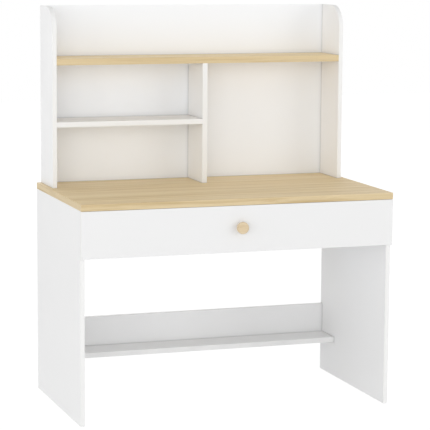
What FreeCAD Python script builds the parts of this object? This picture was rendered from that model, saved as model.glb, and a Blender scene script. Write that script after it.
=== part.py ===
"""Student desk with a hutch: two panel legs, an oak-finish top, a full-width drawer on roller runners,
an L-shaped foot rail, and an open hutch with an oak-finish shelf, a divider and a small shelf.

Millimetres. +X is to the right, +Y to the back, +Z up. The origin is on the floor, under the middle
of the desk's box from the knob to the back edges. Every board is a body whose own origin is its
left, front, lowest corner, and its holes and grooves are measured from there.
"""

import FreeCAD, Part
import os
from types import SimpleNamespace

import Sketcher
from FreeCAD import Placement, Rotation, Vector

SIZES = (
    ("desk_width", 1100, "desktop, left end to right end"),
    ("desk_depth", 600, "desktop, front edge to back edge"),
    ("desk_height", 740, "floor to the top of the desktop"),
    ("desktop_thickness", 22, "oak-finish desktop"),
    ("leg_thickness", 15, "white leg panels"),
    ("edge_ease", 0.5, "chamfer on the edges of the boards"),
    ("rail_thickness", 15, "apron and lower rail, front to back"),
    ("apron_height", 120, "rail under the desktop, at the back"),
    ("lower_rail_height", 123, "upright board of the foot rail"),
    ("lower_rail_lift", 127, "floor to the underside of the foot rail"),
    ("foot_board_depth", 120, "flat board of the foot rail, front to back"),
    ("foot_board_thickness", 18, "flat board of the foot rail"),
    ("drawer_front_height", 157, "drawer front"),
    ("drawer_front_thickness", 15, "drawer front"),
    ("drawer_front_gap", 1, "drawer front to the desktop above it and to the legs behind it"),
    ("drawer_side_height", 100, "drawer sides and back"),
    ("drawer_side_thickness", 15, "drawer sides"),
    ("drawer_back_thickness", 15, "drawer back"),
    ("drawer_box_lift", 14, "underside of the drawer front to the underside of the drawer sides"),
    ("drawer_bottom_thickness", 3, "hardboard drawer bottom"),
    ("drawer_bottom_lift", 10, "underside of the drawer sides to the drawer bottom"),
    ("drawer_groove_depth", 5, "how far the drawer's bottom and back go into the boards round them"),
    ("brace_width", 60, "batten under the middle of the drawer bottom"),
    ("drawer_travel", 340, "how far the drawer opens"),
    ("runner_length", 450, "both members of each runner, and the drawer sides"),
    ("runner_setback", 2, "front of the leg to the front of the cabinet runner"),
    ("runner_gap", 12.5, "leg to drawer side, which one pair of runners fills"),
    ("runner_foot", 12, "how far the drawer runner reaches under the drawer side"),
    ("runner_lip", 4, "height of the upturned lip of the cabinet runner"),
    ("steel_thickness", 1.2, "rolled steel of the runners"),
    ("member_gap", 0.7, "between the two members of a runner, side to side"),
    ("lip_gap", 0.8, "drawer runner's lip to the cabinet runner's web"),
    ("track_lip", 3, "height of the downturned lip of the drawer runner"),
    ("track_gap", 0.8, "drawer runner's track to the cabinet runner's upper flange"),
    ("rolling_gap", 0.3, "between a roller and the track it runs on"),
    ("stop_height", 3, "bump in the cabinet runner that stops the drawer's roller"),
    ("stop_length", 4, "bump in the cabinet runner, front to back"),
    ("roller_diameter", 20, "nylon rollers"),
    ("roller_width", 5.4, "nylon rollers"),
    ("roller_inset", 14, "end of a runner to the axis of its roller"),
    ("roller_play", 0.3, "beside a roller, on its rivet"),
    ("rivet_diameter", 6, "shank that a roller turns on"),
    ("rivet_running_gap", 0.05, "roller bore to rivet, all round"),
    ("rivet_head_diameter", 8, "head and collar of a roller rivet"),
    ("rivet_head_height", 1, "head of a roller rivet"),
    ("rivet_collar", 2, "collar between a runner's web and its roller"),
    ("hutch_height", 620, "desktop to the top of the hutch"),
    ("hutch_depth", 172, "hutch sides, front edge to back edge"),
    ("hutch_inset", 15, "end of the desktop to the outer face of a hutch side"),
    ("hutch_side_thickness", 15, "hutch sides"),
    ("hutch_corner_radius", 80, "rounded top front corner of the hutch sides"),
    ("oak_shelf_height", 444, "desktop to the top of the oak-finish shelf"),
    ("oak_shelf_thickness", 22, "oak-finish shelf"),
    ("left_bay_width", 526, "left hutch side to the divider"),
    ("divider_thickness", 18, "divider"),
    ("small_shelf_height", 227, "desktop to the top of the small shelf"),
    ("small_shelf_thickness", 18, "small shelf"),
    ("back_panel_thickness", 3, "hardboard back of the hutch"),
    ("back_panel_inset", 6, "back edge of the hutch sides to the back panel"),
    ("back_groove_depth", 5, "how far the back panel goes into the hutch sides"),
    ("groove_play", 0.1, "either side of a panel in its groove"),
    ("knob_diameter", 40, "round wooden knob"),
    ("knob_projection", 25, "drawer front to the face of the knob"),
    ("knob_head_thickness", 14, "head of the knob"),
    ("knob_rounding", 4, "rounding on the rim of the knob"),
    ("knob_stem_diameter", 20, "stem of the knob"),
    ("knob_height", 84, "underside of the drawer front to the middle of the knob"),
    ("knob_screw_diameter", 4, "machine screw that holds the knob"),
    ("knob_screw_bite", 12, "how far the screw goes into the knob"),
    ("knob_screw_head_diameter", 8, "head inside the drawer front"),
    ("knob_screw_head_height", 2.5, "head inside the drawer front"),
    ("cam_diameter", 15, "cam locks"),
    ("cam_depth", 12.5, "cam locks"),
    ("cam_axis_depth", 7.5, "face with the cam lock to the axis of its bolt"),
    ("cam_reach", 24, "end of a board to the middle of its cam lock"),
    ("cam_recess_width", 2, "driver recess of a cam lock"),
    ("cam_recess_length", 9, "driver recess of a cam lock"),
    ("cam_recess_depth", 2, "driver recess of a cam lock"),
    ("cam_play", 0.1, "between a cam lock and the bolt in it"),
    ("cam_bolt_diameter", 7, "shank of a cam bolt"),
    ("cam_thread_diameter", 5, "end of a cam bolt that screws into the board's face"),
    ("cam_thread_length", 11, "end of a cam bolt that screws into the board's face"),
    ("dowel_diameter", 8, "wooden dowels"),
    ("dowel_length", 30, "wooden dowels"),
    ("dowel_face_depth", 10, "how far a dowel goes into a board's face"),
    ("confirmat_length", 50, "one-piece connecting screws, with the head"),
    ("confirmat_diameter", 7, "one-piece connecting screws, under the head"),
    ("confirmat_head_diameter", 10, "one-piece connecting screws"),
    ("confirmat_head_height", 2.5, "one-piece connecting screws"),
    ("runner_screw_length", 10, "countersunk screws of the runners"),
    ("runner_screw_diameter", 3.5, "countersunk screws of the runners"),
    ("runner_screw_inset", 70, "end of a runner to its nearer screw"),
    ("panel_screw_length", 16, "round-headed screws of the back panel, under the head"),
    ("panel_screw_diameter", 3, "round-headed screws of the back panel"),
    ("panel_screw_head_diameter", 7, "round-headed screws of the back panel"),
    ("panel_screw_head_height", 1.8, "round-headed screws of the back panel"),
    ("panel_screw_inset", 260, "end of the oak-finish shelf to its nearer screw"),
    ("leg_joint_inset", 60, "front or back edge of a leg to its cam lock"),
    ("rail_joint_inset", 35, "long edge of a rail to its cam lock or dowel"),
    ("shelf_joint_inset", 40, "long edge of a shelf to its cam lock or dowel"),
    ("hutch_screw_inset", 35, "front or back edge of the hutch to the screws under it"),
    ("foot_screw_inset", 250, "end of the foot board to the screw behind it"),
    ("drawer_dowel_height", 32, "underside of a drawer side to its dowel"),
    ("drawer_cam_height", 72, "underside of a drawer side to its cam lock"),
)

DOCUMENT = FreeCAD.newDocument("StudentDesk")
SHEET = DOCUMENT.addObject("Spreadsheet::Sheet", "Sizes")
for row, (alias, number, meaning) in enumerate(SIZES, 1):
    SHEET.set(f"A{row}", meaning)
    SHEET.set(f"B{row}", str(number))
    SHEET.setAlias(f"B{row}", alias)
DOCUMENT.recompute()

# Each size as the words that an expression uses for it.
S = SimpleNamespace(**{alias: f"Sizes.{alias}" for alias, number, meaning in SIZES})
NODES = []

# Small fasteners and their holes are prisms with this many sides, so that many of them stay light.
PIN_SIDES = 8
RIVET_SIDES = 12
LOCK_SIDES = 16

# The knob's rounded rim is turned in this many straight cuts.
KNOB_FACETS = 3


# ---------------------------------------------------------------- expressions


def plus(*terms):
    return "(" + " + ".join(terms) + ")"


def minus(first, *others):
    return "(" + " - ".join((first, *others)) + ")"


def half(term):
    return f"({term} / 2)"


def twice(term):
    return f"(2 * {term})"


def negative(term):
    return f"(-{term})"


def value(expression):
    """The number that an expression comes to."""
    return float(SHEET.evalExpression(expression))


# ---------------------------------------------------------------- directions

WAYS = {
    "left": Vector(-1, 0, 0),
    "right": Vector(1, 0, 0),
    "front": Vector(0, -1, 0),
    "back": Vector(0, 1, 0),
    "down": Vector(0, 0, -1),
    "up": Vector(0, 0, 1),
}
OTHER_SIDE = {"left": "right", "right": "left"}


def facing(way):
    """The turn that points a piece's own Z axis this way."""
    return Rotation(WAYS["up"], WAYS[way])


def shift(point, way, distance):
    """A point, as three expressions, moved this way."""
    moved = []
    for place_along, step in zip(point, WAYS[way]):
        if step > 0:
            place_along = plus(place_along, distance)
        elif step < 0:
            place_along = minus(place_along, distance)
        moved.append(place_along)
    return tuple(moved)


def both_sides(point, *ways):
    """A point on the left of the desk with its ways, and their mirror image on the right."""
    across, along, up = point
    mirrored_ways = [OTHER_SIDE.get(way, way) for way in ways]
    return [(point, *ways), ((negative(across), along, up), *mirrored_ways)]


# ---------------------------------------------------------------- sketches


def place(piece, corner, turn=Rotation()):
    """Turns a piece, and ties where its own origin stands to three expressions."""
    piece.Placement = Placement(Vector(), turn)
    for axis, expression in zip("xyz", corner):
        piece.setExpression(f"Placement.Base.{axis}", expression)


def new_body(label):
    body = DOCUMENT.addObject("PartDesign::Body", label)
    body.Label = label
    return body


def sketch_on(body, role, height="0"):
    """An empty sketch on one of the body's own planes, moved along the plane's normal."""
    plane = next(part for part in body.Origin.OriginFeatures if part.Role == role)
    sketch = body.newObject("Sketcher::SketchObject", f"{body.Name}_sketch")
    sketch.AttachmentSupport = [(plane, "")]
    sketch.MapMode = "FlatFace"
    sketch.setExpression("AttachmentOffset.Base.z", height)
    return sketch


def dimension(sketch, kind, where, expression):
    number = sketch.addConstraint(Sketcher.Constraint(kind, *where, value(expression)))
    sketch.setExpression(f"Constraints[{number}]", expression)


def locate(sketch, geometry, point, across, up):
    """Ties a point of the sketch to its place from the sketch's origin."""
    for kind, axis, expression in (("DistanceX", -2, across), ("DistanceY", -1, up)):
        if expression == "0":
            sketch.addConstraint(Sketcher.Constraint("PointOnObject", geometry, point, axis))
        else:
            dimension(sketch, kind, (-1, 1, geometry, point), expression)


def outline(sketch, points):
    """A closed outline of straight lines through points given as pairs of expressions."""
    places = [Vector(value(across), value(up), 0) for across, up in points]
    following = places[1:] + places[:1]
    lines = [sketch.addGeometry(Part.LineSegment(*ends)) for ends in zip(places, following)]
    for line, next_line, (across, up) in zip(lines, lines[1:] + lines[:1], points):
        sketch.addConstraint(Sketcher.Constraint("Coincident", line, 2, next_line, 1))
        locate(sketch, line, 1, across, up)


def rectangle(sketch, left, low, width, height):
    right = plus(left, width)
    high = plus(low, height)
    outline(sketch, [(left, low), (right, low), (right, high), (left, high)])


def polygon(sketch, across, up, diameter, sides):
    """A regular polygon inside a circle of this diameter, with flats square to the sketch's axes."""
    radius = half(diameter)
    points = []
    for corner in range(sides):
        angle = 360 * (corner + 0.5) / sides
        step_across = f"{radius} * cos({angle} deg)"
        step_up = f"{radius} * sin({angle} deg)"
        points.append((plus(across, step_across), plus(up, step_up)))
    outline(sketch, points)


# ---------------------------------------------------------------- features


def pad(body, sketch, length, reverse=False, taper=0):
    feature = body.newObject("PartDesign::Pad", f"{body.Name}_pad")
    feature.Profile = sketch
    feature.Reversed = reverse
    feature.TaperAngle = taper
    feature.setExpression("Length", length)
    DOCUMENT.recompute()


def pocket(body, sketch, depth, reverse=False, taper=0):
    """Cuts a sketch into the body, and makes sure that it took something away."""
    before = body.Shape.Volume
    feature = body.newObject("PartDesign::Pocket", f"{body.Name}_pocket")
    feature.Profile = sketch
    feature.Reversed = reverse
    feature.TaperAngle = taper
    feature.setExpression("Length", depth)
    DOCUMENT.recompute()
    if body.Shape.Volume >= before:
        raise RuntimeError(f"a pocket of {body.Label} cuts nothing")


def revolve(label, points):
    """A body turned about its own Z axis from an outline of (radius, height) points."""
    body = new_body(label)
    sketch = sketch_on(body, "XZ_Plane")
    outline(sketch, points)
    turning = body.newObject("PartDesign::Revolution", f"{label}_turning")
    turning.Profile = sketch
    turning.ReferenceAxis = (sketch, ["V_Axis"])
    turning.Angle = 360
    DOCUMENT.recompute()
    return body


def dress(body, kind, amount, expression, wanted=lambda edge: True):
    """Puts a Fillet or Chamfer on the edges of the body that the test picks."""
    base = body.Tip
    names = [f"Edge{n}" for n, edge in enumerate(base.Shape.Edges, 1) if wanted(edge)]
    feature = body.newObject(f"PartDesign::{kind}", f"{body.Name}_{kind.lower()}")
    feature.Base = (base, names)
    feature.setExpression(amount, expression)
    DOCUMENT.recompute()


def mirrored(label, piece):
    """The same piece on the other side of the desk."""
    copy = DOCUMENT.addObject("Part::Mirroring", label)
    copy.Label = label
    copy.Source = piece
    copy.Normal = WAYS["right"]
    NODES.append(copy)


def group(label, master, spots):
    """One node that holds a copy of a fastener at each spot: a point and a turn."""
    copies = []
    for number, (point, turn) in enumerate(spots, 1):
        copy = DOCUMENT.addObject("App::Link", f"{label}_{number}")
        copy.LinkedObject = master
        place(copy, point, turn)
        copies.append(copy)
    compound = DOCUMENT.addObject("Part::Compound", label)
    compound.Label = label
    compound.Links = copies
    NODES.append(compound)


class Board:
    """A rectangular board. Its holes and grooves are cut from one of its six named faces."""

    def __init__(self, label, corner, width, depth, height, eased=True):
        self.body = new_body(label)
        place(self.body, corner)
        sketch = sketch_on(self.body, "XY_Plane")
        rectangle(sketch, "0", "0", width, depth)
        pad(self.body, sketch, height)
        self.faces = {
            "top": ("XY_Plane", height, False),
            "bottom": ("XY_Plane", "0", True),
            "front": ("XZ_Plane", "0", False),
            "back": ("XZ_Plane", negative(depth), True),
            "left": ("YZ_Plane", "0", True),
            "right": ("YZ_Plane", width, False),
        }
        if eased:
            dress(self.body, "Chamfer", "Size", S.edge_ease)
        NODES.append(self.body)

    def drill(self, face, spots, diameter, depth, sides=PIN_SIDES):
        """Holes in a face, each spot given as (x, y), (x, z) or (y, z)."""
        role, height, reverse = self.faces[face]
        sketch = sketch_on(self.body, role, height)
        for across, up in spots:
            polygon(sketch, across, up, diameter, sides)
        pocket(self.body, sketch, depth, reverse)

    def drill_for_locks(self, face, spots):
        self.drill(face, spots, S.cam_diameter, S.cam_depth, LOCK_SIDES)

    def groove(self, face, left, low, width, height, depth):
        role, raised, reverse = self.faces[face]
        sketch = sketch_on(self.body, role, raised)
        rectangle(sketch, left, low, width, height)
        pocket(self.body, sketch, depth, reverse)


# ---------------------------------------------------------------- places that several pieces share

LEFT = negative(half(S.desk_width))
FRONT = negative(half(minus(S.desk_depth, S.knob_projection)))
BACK = plus(FRONT, S.desk_depth)
UNDER_TOP = minus(S.desk_height, S.desktop_thickness)

# Legs and rails.
LEG_SETBACK = plus(S.drawer_front_thickness, S.drawer_front_gap)
LEG_FRONT = plus(FRONT, LEG_SETBACK)
LEG_DEPTH = minus(S.desk_depth, LEG_SETBACK)
LEG_CAMS = (S.leg_joint_inset, minus(LEG_DEPTH, S.leg_joint_inset))
LEG_INNER = plus(LEFT, S.leg_thickness)
LEG_MIDDLE = plus(LEFT, half(S.leg_thickness))
RAIL_FRONT = minus(BACK, S.rail_thickness)
RAIL_LENGTH = minus(S.desk_width, twice(S.leg_thickness))
RAIL_DOWEL_HEIGHT = S.rail_joint_inset
APRON_BOTTOM = minus(UNDER_TOP, S.apron_height)
FOOT_FRONT = minus(RAIL_FRONT, S.foot_board_depth)
FOOT_MIDDLE = plus(FOOT_FRONT, half(S.foot_board_depth))
FOOT_SCREWS = (S.foot_screw_inset, minus(RAIL_LENGTH, S.foot_screw_inset))
DOWEL_END_DEPTH = minus(S.dowel_length, S.dowel_face_depth)

# Drawer.
DRAWER_BOTTOM = minus(UNDER_TOP, S.drawer_front_gap, S.drawer_front_height)
BOX_BOTTOM = plus(DRAWER_BOTTOM, S.drawer_box_lift)
BOX_FRONT = plus(FRONT, S.drawer_front_thickness)
BOX_INSET = plus(S.leg_thickness, S.runner_gap)
BOX_INNER_INSET = plus(BOX_INSET, S.drawer_side_thickness)
BOX_INNER_WIDTH = minus(S.desk_width, twice(BOX_INNER_INSET))
BOX_CLEAR_DEPTH = minus(S.runner_length, S.drawer_back_thickness)
PANEL_WIDTH = plus(BOX_INNER_WIDTH, twice(S.drawer_groove_depth))
PANEL_INSET = minus(BOX_INNER_INSET, S.drawer_groove_depth)
PANEL_GROOVE_LIFT = minus(S.drawer_bottom_lift, S.groove_play)
PANEL_GROOVE_HEIGHT = plus(S.drawer_bottom_thickness, twice(S.groove_play))
KNOB_CENTRE_HEIGHT = plus(DRAWER_BOTTOM, S.knob_height)

# Runners. Heights are from the runner's underside, and lengths from its front.
RUNNER_BOTTOM = minus(BOX_BOTTOM, S.steel_thickness)
RUNNER_FRONT = plus(LEG_FRONT, S.runner_setback)
ROLLER_RADIUS = half(S.roller_diameter)
ROLLER_AXIS = plus(S.steel_thickness, S.rolling_gap, ROLLER_RADIUS)
ROLLER_OFFSET = plus(S.steel_thickness, S.rivet_collar, S.roller_play)
TRACK_HEIGHT = plus(ROLLER_AXIS, ROLLER_RADIUS, S.rolling_gap)
BACK_ROLLER = minus(S.runner_length, S.roller_inset)
RUNNER_SCREWS = (S.runner_screw_inset, minus(S.runner_length, S.runner_screw_inset))
RUNNER_SCREW_HEAD = plus(S.runner_screw_diameter, twice(S.steel_thickness))
COUNTERSINK = 45
RUNNER_SCREW_BITE = minus(S.runner_screw_length, S.steel_thickness)
AXIS_HEIGHT = plus(RUNNER_BOTTOM, ROLLER_AXIS)

# Hutch. Heights are from the desktop, and depths from the hutch's front.
HUTCH_FRONT = minus(BACK, S.hutch_depth)
SHELF_INSET = plus(S.hutch_inset, S.hutch_side_thickness)
SHELF_LEFT = plus(LEFT, SHELF_INSET)
SHELF_DEPTH = minus(S.hutch_depth, S.back_panel_inset, S.back_panel_thickness)
SHELF_LENGTH = minus(S.desk_width, twice(SHELF_INSET))
SHELF_BACK_JOINT = minus(SHELF_DEPTH, S.shelf_joint_inset)
SHELF_JOINTS = (S.shelf_joint_inset, SHELF_BACK_JOINT)
SHELF_BOTTOM = minus(S.oak_shelf_height, S.oak_shelf_thickness)
SHELF_MIDDLE = plus(SHELF_BOTTOM, half(S.oak_shelf_thickness))
SHELF_BOLT = plus(SHELF_BOTTOM, S.cam_axis_depth)
SMALL_SHELF_BOTTOM = minus(S.small_shelf_height, S.small_shelf_thickness)
SMALL_SHELF_MIDDLE = plus(SMALL_SHELF_BOTTOM, half(S.small_shelf_thickness))
DIVIDER_MIDDLE = plus(S.left_bay_width, half(S.divider_thickness))
UPRIGHT_MIDDLE = plus(S.hutch_inset, half(S.hutch_side_thickness))
UPRIGHTS = (UPRIGHT_MIDDLE, plus(SHELF_INSET, DIVIDER_MIDDLE), minus(S.desk_width, UPRIGHT_MIDDLE))
UPRIGHT_SCREWS = (S.hutch_screw_inset, minus(S.hutch_depth, S.hutch_screw_inset))
UPRIGHT_SCREW_BITE = minus(S.confirmat_length, S.desktop_thickness)
PANEL_SCREWS = (S.panel_screw_inset, minus(SHELF_LENGTH, S.panel_screw_inset))
PANEL_SCREW_BITE = minus(S.panel_screw_length, S.back_panel_thickness)


# ---------------------------------------------------------------- desk


def desktop():
    size = (S.desk_width, S.desk_depth, S.desktop_thickness)
    board = Board("desktop", (LEFT, FRONT, UNDER_TOP), *size)
    bolt_inset = minus(S.leg_thickness, S.cam_axis_depth)
    bolt_sides = (bolt_inset, minus(S.desk_width, bolt_inset))
    bolts = [(x, plus(LEG_SETBACK, y)) for x in bolt_sides for y in LEG_CAMS]
    board.drill("bottom", bolts, S.cam_thread_diameter, S.cam_thread_length)
    dowel_sides = (half(S.leg_thickness), minus(S.desk_width, half(S.leg_thickness)))
    dowels = [(x, plus(LEG_SETBACK, half(LEG_DEPTH))) for x in dowel_sides]
    board.drill("bottom", dowels, S.dowel_diameter, S.dowel_face_depth)
    hutch_front = minus(S.desk_depth, S.hutch_depth)
    screws = [(x, plus(hutch_front, y)) for x in UPRIGHTS for y in UPRIGHT_SCREWS]
    board.drill("bottom", screws, S.confirmat_diameter, S.desktop_thickness)
    board.drill("bottom", screws, S.confirmat_head_diameter, S.confirmat_head_height)


def leg_panel(label, corner_x, inner, bolt_x):
    """A leg. Its inner face looks into the knee space, and bolt_x is where its cam bolts run."""
    leg = Board(label, (corner_x, LEG_FRONT, "0"), S.leg_thickness, LEG_DEPTH, UNDER_TOP)
    cams = [(y, minus(UNDER_TOP, S.cam_reach)) for y in LEG_CAMS]
    leg.drill_for_locks(inner, cams)
    leg.drill("top", [(bolt_x, y) for y in LEG_CAMS], S.cam_bolt_diameter, S.cam_reach)
    middle = [(half(S.leg_thickness), half(LEG_DEPTH))]
    leg.drill("top", middle, S.dowel_diameter, DOWEL_END_DEPTH)
    bolt_y = minus(LEG_DEPTH, S.cam_axis_depth)
    bolts = [(bolt_y, rail_bolt_height(APRON_BOTTOM, S.apron_height))]
    bolts.append((bolt_y, rail_bolt_height(S.lower_rail_lift, S.lower_rail_height)))
    leg.drill(inner, bolts, S.cam_thread_diameter, S.cam_thread_length)
    dowel_y = minus(LEG_DEPTH, half(S.rail_thickness))
    dowels = [(dowel_y, plus(APRON_BOTTOM, RAIL_DOWEL_HEIGHT))]
    dowels.append((dowel_y, plus(S.lower_rail_lift, RAIL_DOWEL_HEIGHT)))
    foot_y = minus(LEG_DEPTH, S.rail_thickness, half(S.foot_board_depth))
    dowels.append((foot_y, plus(S.lower_rail_lift, half(S.foot_board_thickness))))
    leg.drill(inner, dowels, S.dowel_diameter, S.dowel_face_depth)
    screws = [(plus(S.runner_setback, along), AXIS_HEIGHT) for along in RUNNER_SCREWS]
    leg.drill(inner, screws, S.runner_screw_diameter, RUNNER_SCREW_BITE)


def rail_bolt_height(bottom, height):
    return plus(bottom, minus(height, S.rail_joint_inset))


def rail(label, bottom, height):
    """A board between the legs at the back, with its cam locks in its back face."""
    board = Board(label, (LEG_INNER, RAIL_FRONT, bottom), RAIL_LENGTH, S.rail_thickness, height)
    bolt_height = rail_bolt_height("0", height)
    cams = [(x, bolt_height) for x in (S.cam_reach, minus(RAIL_LENGTH, S.cam_reach))]
    board.drill_for_locks("back", cams)
    bolt = [(minus(S.rail_thickness, S.cam_axis_depth), bolt_height)]
    dowel = [(half(S.rail_thickness), RAIL_DOWEL_HEIGHT)]
    for end in ("left", "right"):
        board.drill(end, bolt, S.cam_bolt_diameter, S.cam_reach)
        board.drill(end, dowel, S.dowel_diameter, DOWEL_END_DEPTH)
    return board


def foot_rail():
    upright = rail("lower_rail", S.lower_rail_lift, S.lower_rail_height)
    middle = half(S.foot_board_thickness)
    screws = [(x, middle) for x in FOOT_SCREWS]
    upright.drill("back", screws, S.confirmat_diameter, S.rail_thickness)
    upright.drill("back", screws, S.confirmat_head_diameter, S.confirmat_head_height)
    size = (RAIL_LENGTH, S.foot_board_depth, S.foot_board_thickness)
    flat = Board("foot_board", (LEG_INNER, FOOT_FRONT, S.lower_rail_lift), *size)
    flat.drill("back", screws, S.confirmat_diameter, minus(S.confirmat_length, S.rail_thickness))
    for end in ("left", "right"):
        dowel = [(half(S.foot_board_depth), middle)]
        flat.drill(end, dowel, S.dowel_diameter, DOWEL_END_DEPTH)


# ---------------------------------------------------------------- hutch


def hutch_side(label, corner_x, inner, holds_small_shelf):
    """A hutch side with a rounded top front corner and a groove for the back panel."""
    size = (S.hutch_side_thickness, S.hutch_depth, S.hutch_height)
    side = Board(label, (corner_x, HUTCH_FRONT, S.desk_height), *size, eased=False)
    top = value(S.hutch_height)
    dress(side.body, "Fillet", "Radius", S.hutch_corner_radius, lambda edge: is_top_front(edge, top))
    dress(side.body, "Chamfer", "Size", S.edge_ease, lambda edge: edge.BoundBox.XLength < 0.01)
    groove_width = plus(S.back_panel_thickness, twice(S.groove_play))
    groove_front = minus(SHELF_DEPTH, S.groove_play)
    side.groove(inner, groove_front, "0", groove_width, S.hutch_height, S.back_groove_depth)
    screws = [(half(S.hutch_side_thickness), y) for y in UPRIGHT_SCREWS]
    side.drill("bottom", screws, S.confirmat_diameter, UPRIGHT_SCREW_BITE)
    bolt = [(S.shelf_joint_inset, SHELF_BOLT)]
    side.drill(inner, bolt, S.cam_thread_diameter, S.cam_thread_length)
    dowels = [(SHELF_BACK_JOINT, SHELF_MIDDLE)]
    if holds_small_shelf:
        dowels.extend((y, SMALL_SHELF_MIDDLE) for y in SHELF_JOINTS)
    side.drill(inner, dowels, S.dowel_diameter, S.dowel_face_depth)


def is_top_front(edge, top):
    middle = edge.BoundBox.Center
    return abs(middle.z - top) < 0.01 and abs(middle.y) < 0.01


def oak_shelf():
    corner = (SHELF_LEFT, HUTCH_FRONT, plus(S.desk_height, SHELF_BOTTOM))
    shelf = Board("oak_shelf", corner, SHELF_LENGTH, SHELF_DEPTH, S.oak_shelf_thickness)
    ends = (S.cam_reach, minus(SHELF_LENGTH, S.cam_reach))
    cams = [(x, S.shelf_joint_inset) for x in ends]
    shelf.drill_for_locks("bottom", cams)
    middle = half(S.oak_shelf_thickness)
    for end in ("left", "right"):
        bolt = [(S.shelf_joint_inset, S.cam_axis_depth)]
        shelf.drill(end, bolt, S.cam_bolt_diameter, S.cam_reach)
        dowel = [(SHELF_BACK_JOINT, middle)]
        shelf.drill(end, dowel, S.dowel_diameter, DOWEL_END_DEPTH)
    dowels = [(DIVIDER_MIDDLE, y) for y in SHELF_JOINTS]
    shelf.drill("bottom", dowels, S.dowel_diameter, S.dowel_face_depth)
    screws = [(x, middle) for x in PANEL_SCREWS]
    shelf.drill("back", screws, S.panel_screw_diameter, PANEL_SCREW_BITE)


def divider():
    corner = (plus(SHELF_LEFT, S.left_bay_width), HUTCH_FRONT, S.desk_height)
    board = Board("divider", corner, S.divider_thickness, SHELF_DEPTH, SHELF_BOTTOM)
    middle = half(S.divider_thickness)
    dowels = [(middle, y) for y in SHELF_JOINTS]
    board.drill("top", dowels, S.dowel_diameter, DOWEL_END_DEPTH)
    screws = [(middle, y) for y in UPRIGHT_SCREWS]
    board.drill("bottom", screws, S.confirmat_diameter, UPRIGHT_SCREW_BITE)
    shelf_dowels = [(y, SMALL_SHELF_MIDDLE) for y in SHELF_JOINTS]
    board.drill("left", shelf_dowels, S.dowel_diameter, S.dowel_face_depth)


def small_shelf():
    corner = (SHELF_LEFT, HUTCH_FRONT, plus(S.desk_height, SMALL_SHELF_BOTTOM))
    shelf = Board("small_shelf", corner, S.left_bay_width, SHELF_DEPTH, S.small_shelf_thickness)
    dowels = [(y, half(S.small_shelf_thickness)) for y in SHELF_JOINTS]
    for end in ("left", "right"):
        shelf.drill(end, dowels, S.dowel_diameter, DOWEL_END_DEPTH)


def back_panel():
    left = minus(SHELF_LEFT, S.back_groove_depth)
    width = plus(SHELF_LENGTH, twice(S.back_groove_depth))
    corner = (left, plus(HUTCH_FRONT, SHELF_DEPTH), S.desk_height)
    panel = Board("back_panel", corner, width, S.back_panel_thickness, S.hutch_height, eased=False)
    screws = [(plus(S.back_groove_depth, x), SHELF_MIDDLE) for x in PANEL_SCREWS]
    panel.drill("back", screws, S.panel_screw_diameter, S.back_panel_thickness)


# ---------------------------------------------------------------- drawer


def drawer_front():
    size = (S.desk_width, S.drawer_front_thickness, S.drawer_front_height)
    front = Board("drawer_front", (LEFT, FRONT, DRAWER_BOTTOM), *size)
    groove = (PANEL_INSET, plus(S.drawer_box_lift, PANEL_GROOVE_LIFT), PANEL_WIDTH, PANEL_GROOVE_HEIGHT)
    front.groove("back", *groove, S.drawer_groove_depth)
    bolt_inset = minus(BOX_INNER_INSET, S.cam_axis_depth)
    bolt_height = plus(S.drawer_box_lift, S.drawer_cam_height)
    bolts = [(x, bolt_height) for x in (bolt_inset, minus(S.desk_width, bolt_inset))]
    front.drill("back", bolts, S.cam_thread_diameter, S.cam_thread_length)
    dowel_inset = plus(BOX_INSET, half(S.drawer_side_thickness))
    dowel_height = plus(S.drawer_box_lift, S.drawer_dowel_height)
    dowels = [(x, dowel_height) for x in (dowel_inset, minus(S.desk_width, dowel_inset))]
    front.drill("back", dowels, S.dowel_diameter, S.dowel_face_depth)
    knob_spot = [(half(S.desk_width), S.knob_height)]
    front.drill("back", knob_spot, S.knob_screw_diameter, S.drawer_front_thickness)


def drawer_side(label, corner_x, inner, bolt_x):
    size = (S.drawer_side_thickness, S.runner_length, S.drawer_side_height)
    side = Board(label, (corner_x, BOX_FRONT, BOX_BOTTOM), *size)
    bottom_groove = ("0", PANEL_GROOVE_LIFT, BOX_CLEAR_DEPTH, PANEL_GROOVE_HEIGHT)
    side.groove(inner, *bottom_groove, S.drawer_groove_depth)
    back_housing = (BOX_CLEAR_DEPTH, "0", S.drawer_back_thickness, S.drawer_side_height)
    side.groove(inner, *back_housing, S.drawer_groove_depth)
    side.drill_for_locks(inner, [(S.cam_reach, S.drawer_cam_height)])
    side.drill("front", [(bolt_x, S.drawer_cam_height)], S.cam_bolt_diameter, S.cam_reach)
    dowel = [(half(S.drawer_side_thickness), S.drawer_dowel_height)]
    side.drill("front", dowel, S.dowel_diameter, DOWEL_END_DEPTH)
    screws = [(along, minus(ROLLER_AXIS, S.steel_thickness)) for along in RUNNER_SCREWS]
    side.drill(OTHER_SIDE[inner], screws, S.runner_screw_diameter, RUNNER_SCREW_BITE)


def drawer_back():
    corner = (plus(LEFT, PANEL_INSET), plus(BOX_FRONT, BOX_CLEAR_DEPTH), BOX_BOTTOM)
    size = (PANEL_WIDTH, S.drawer_back_thickness, S.drawer_side_height)
    back = Board("drawer_back", corner, *size, eased=False)
    groove = ("0", PANEL_GROOVE_LIFT, PANEL_WIDTH, PANEL_GROOVE_HEIGHT)
    back.groove("front", *groove, S.drawer_groove_depth)


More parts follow.
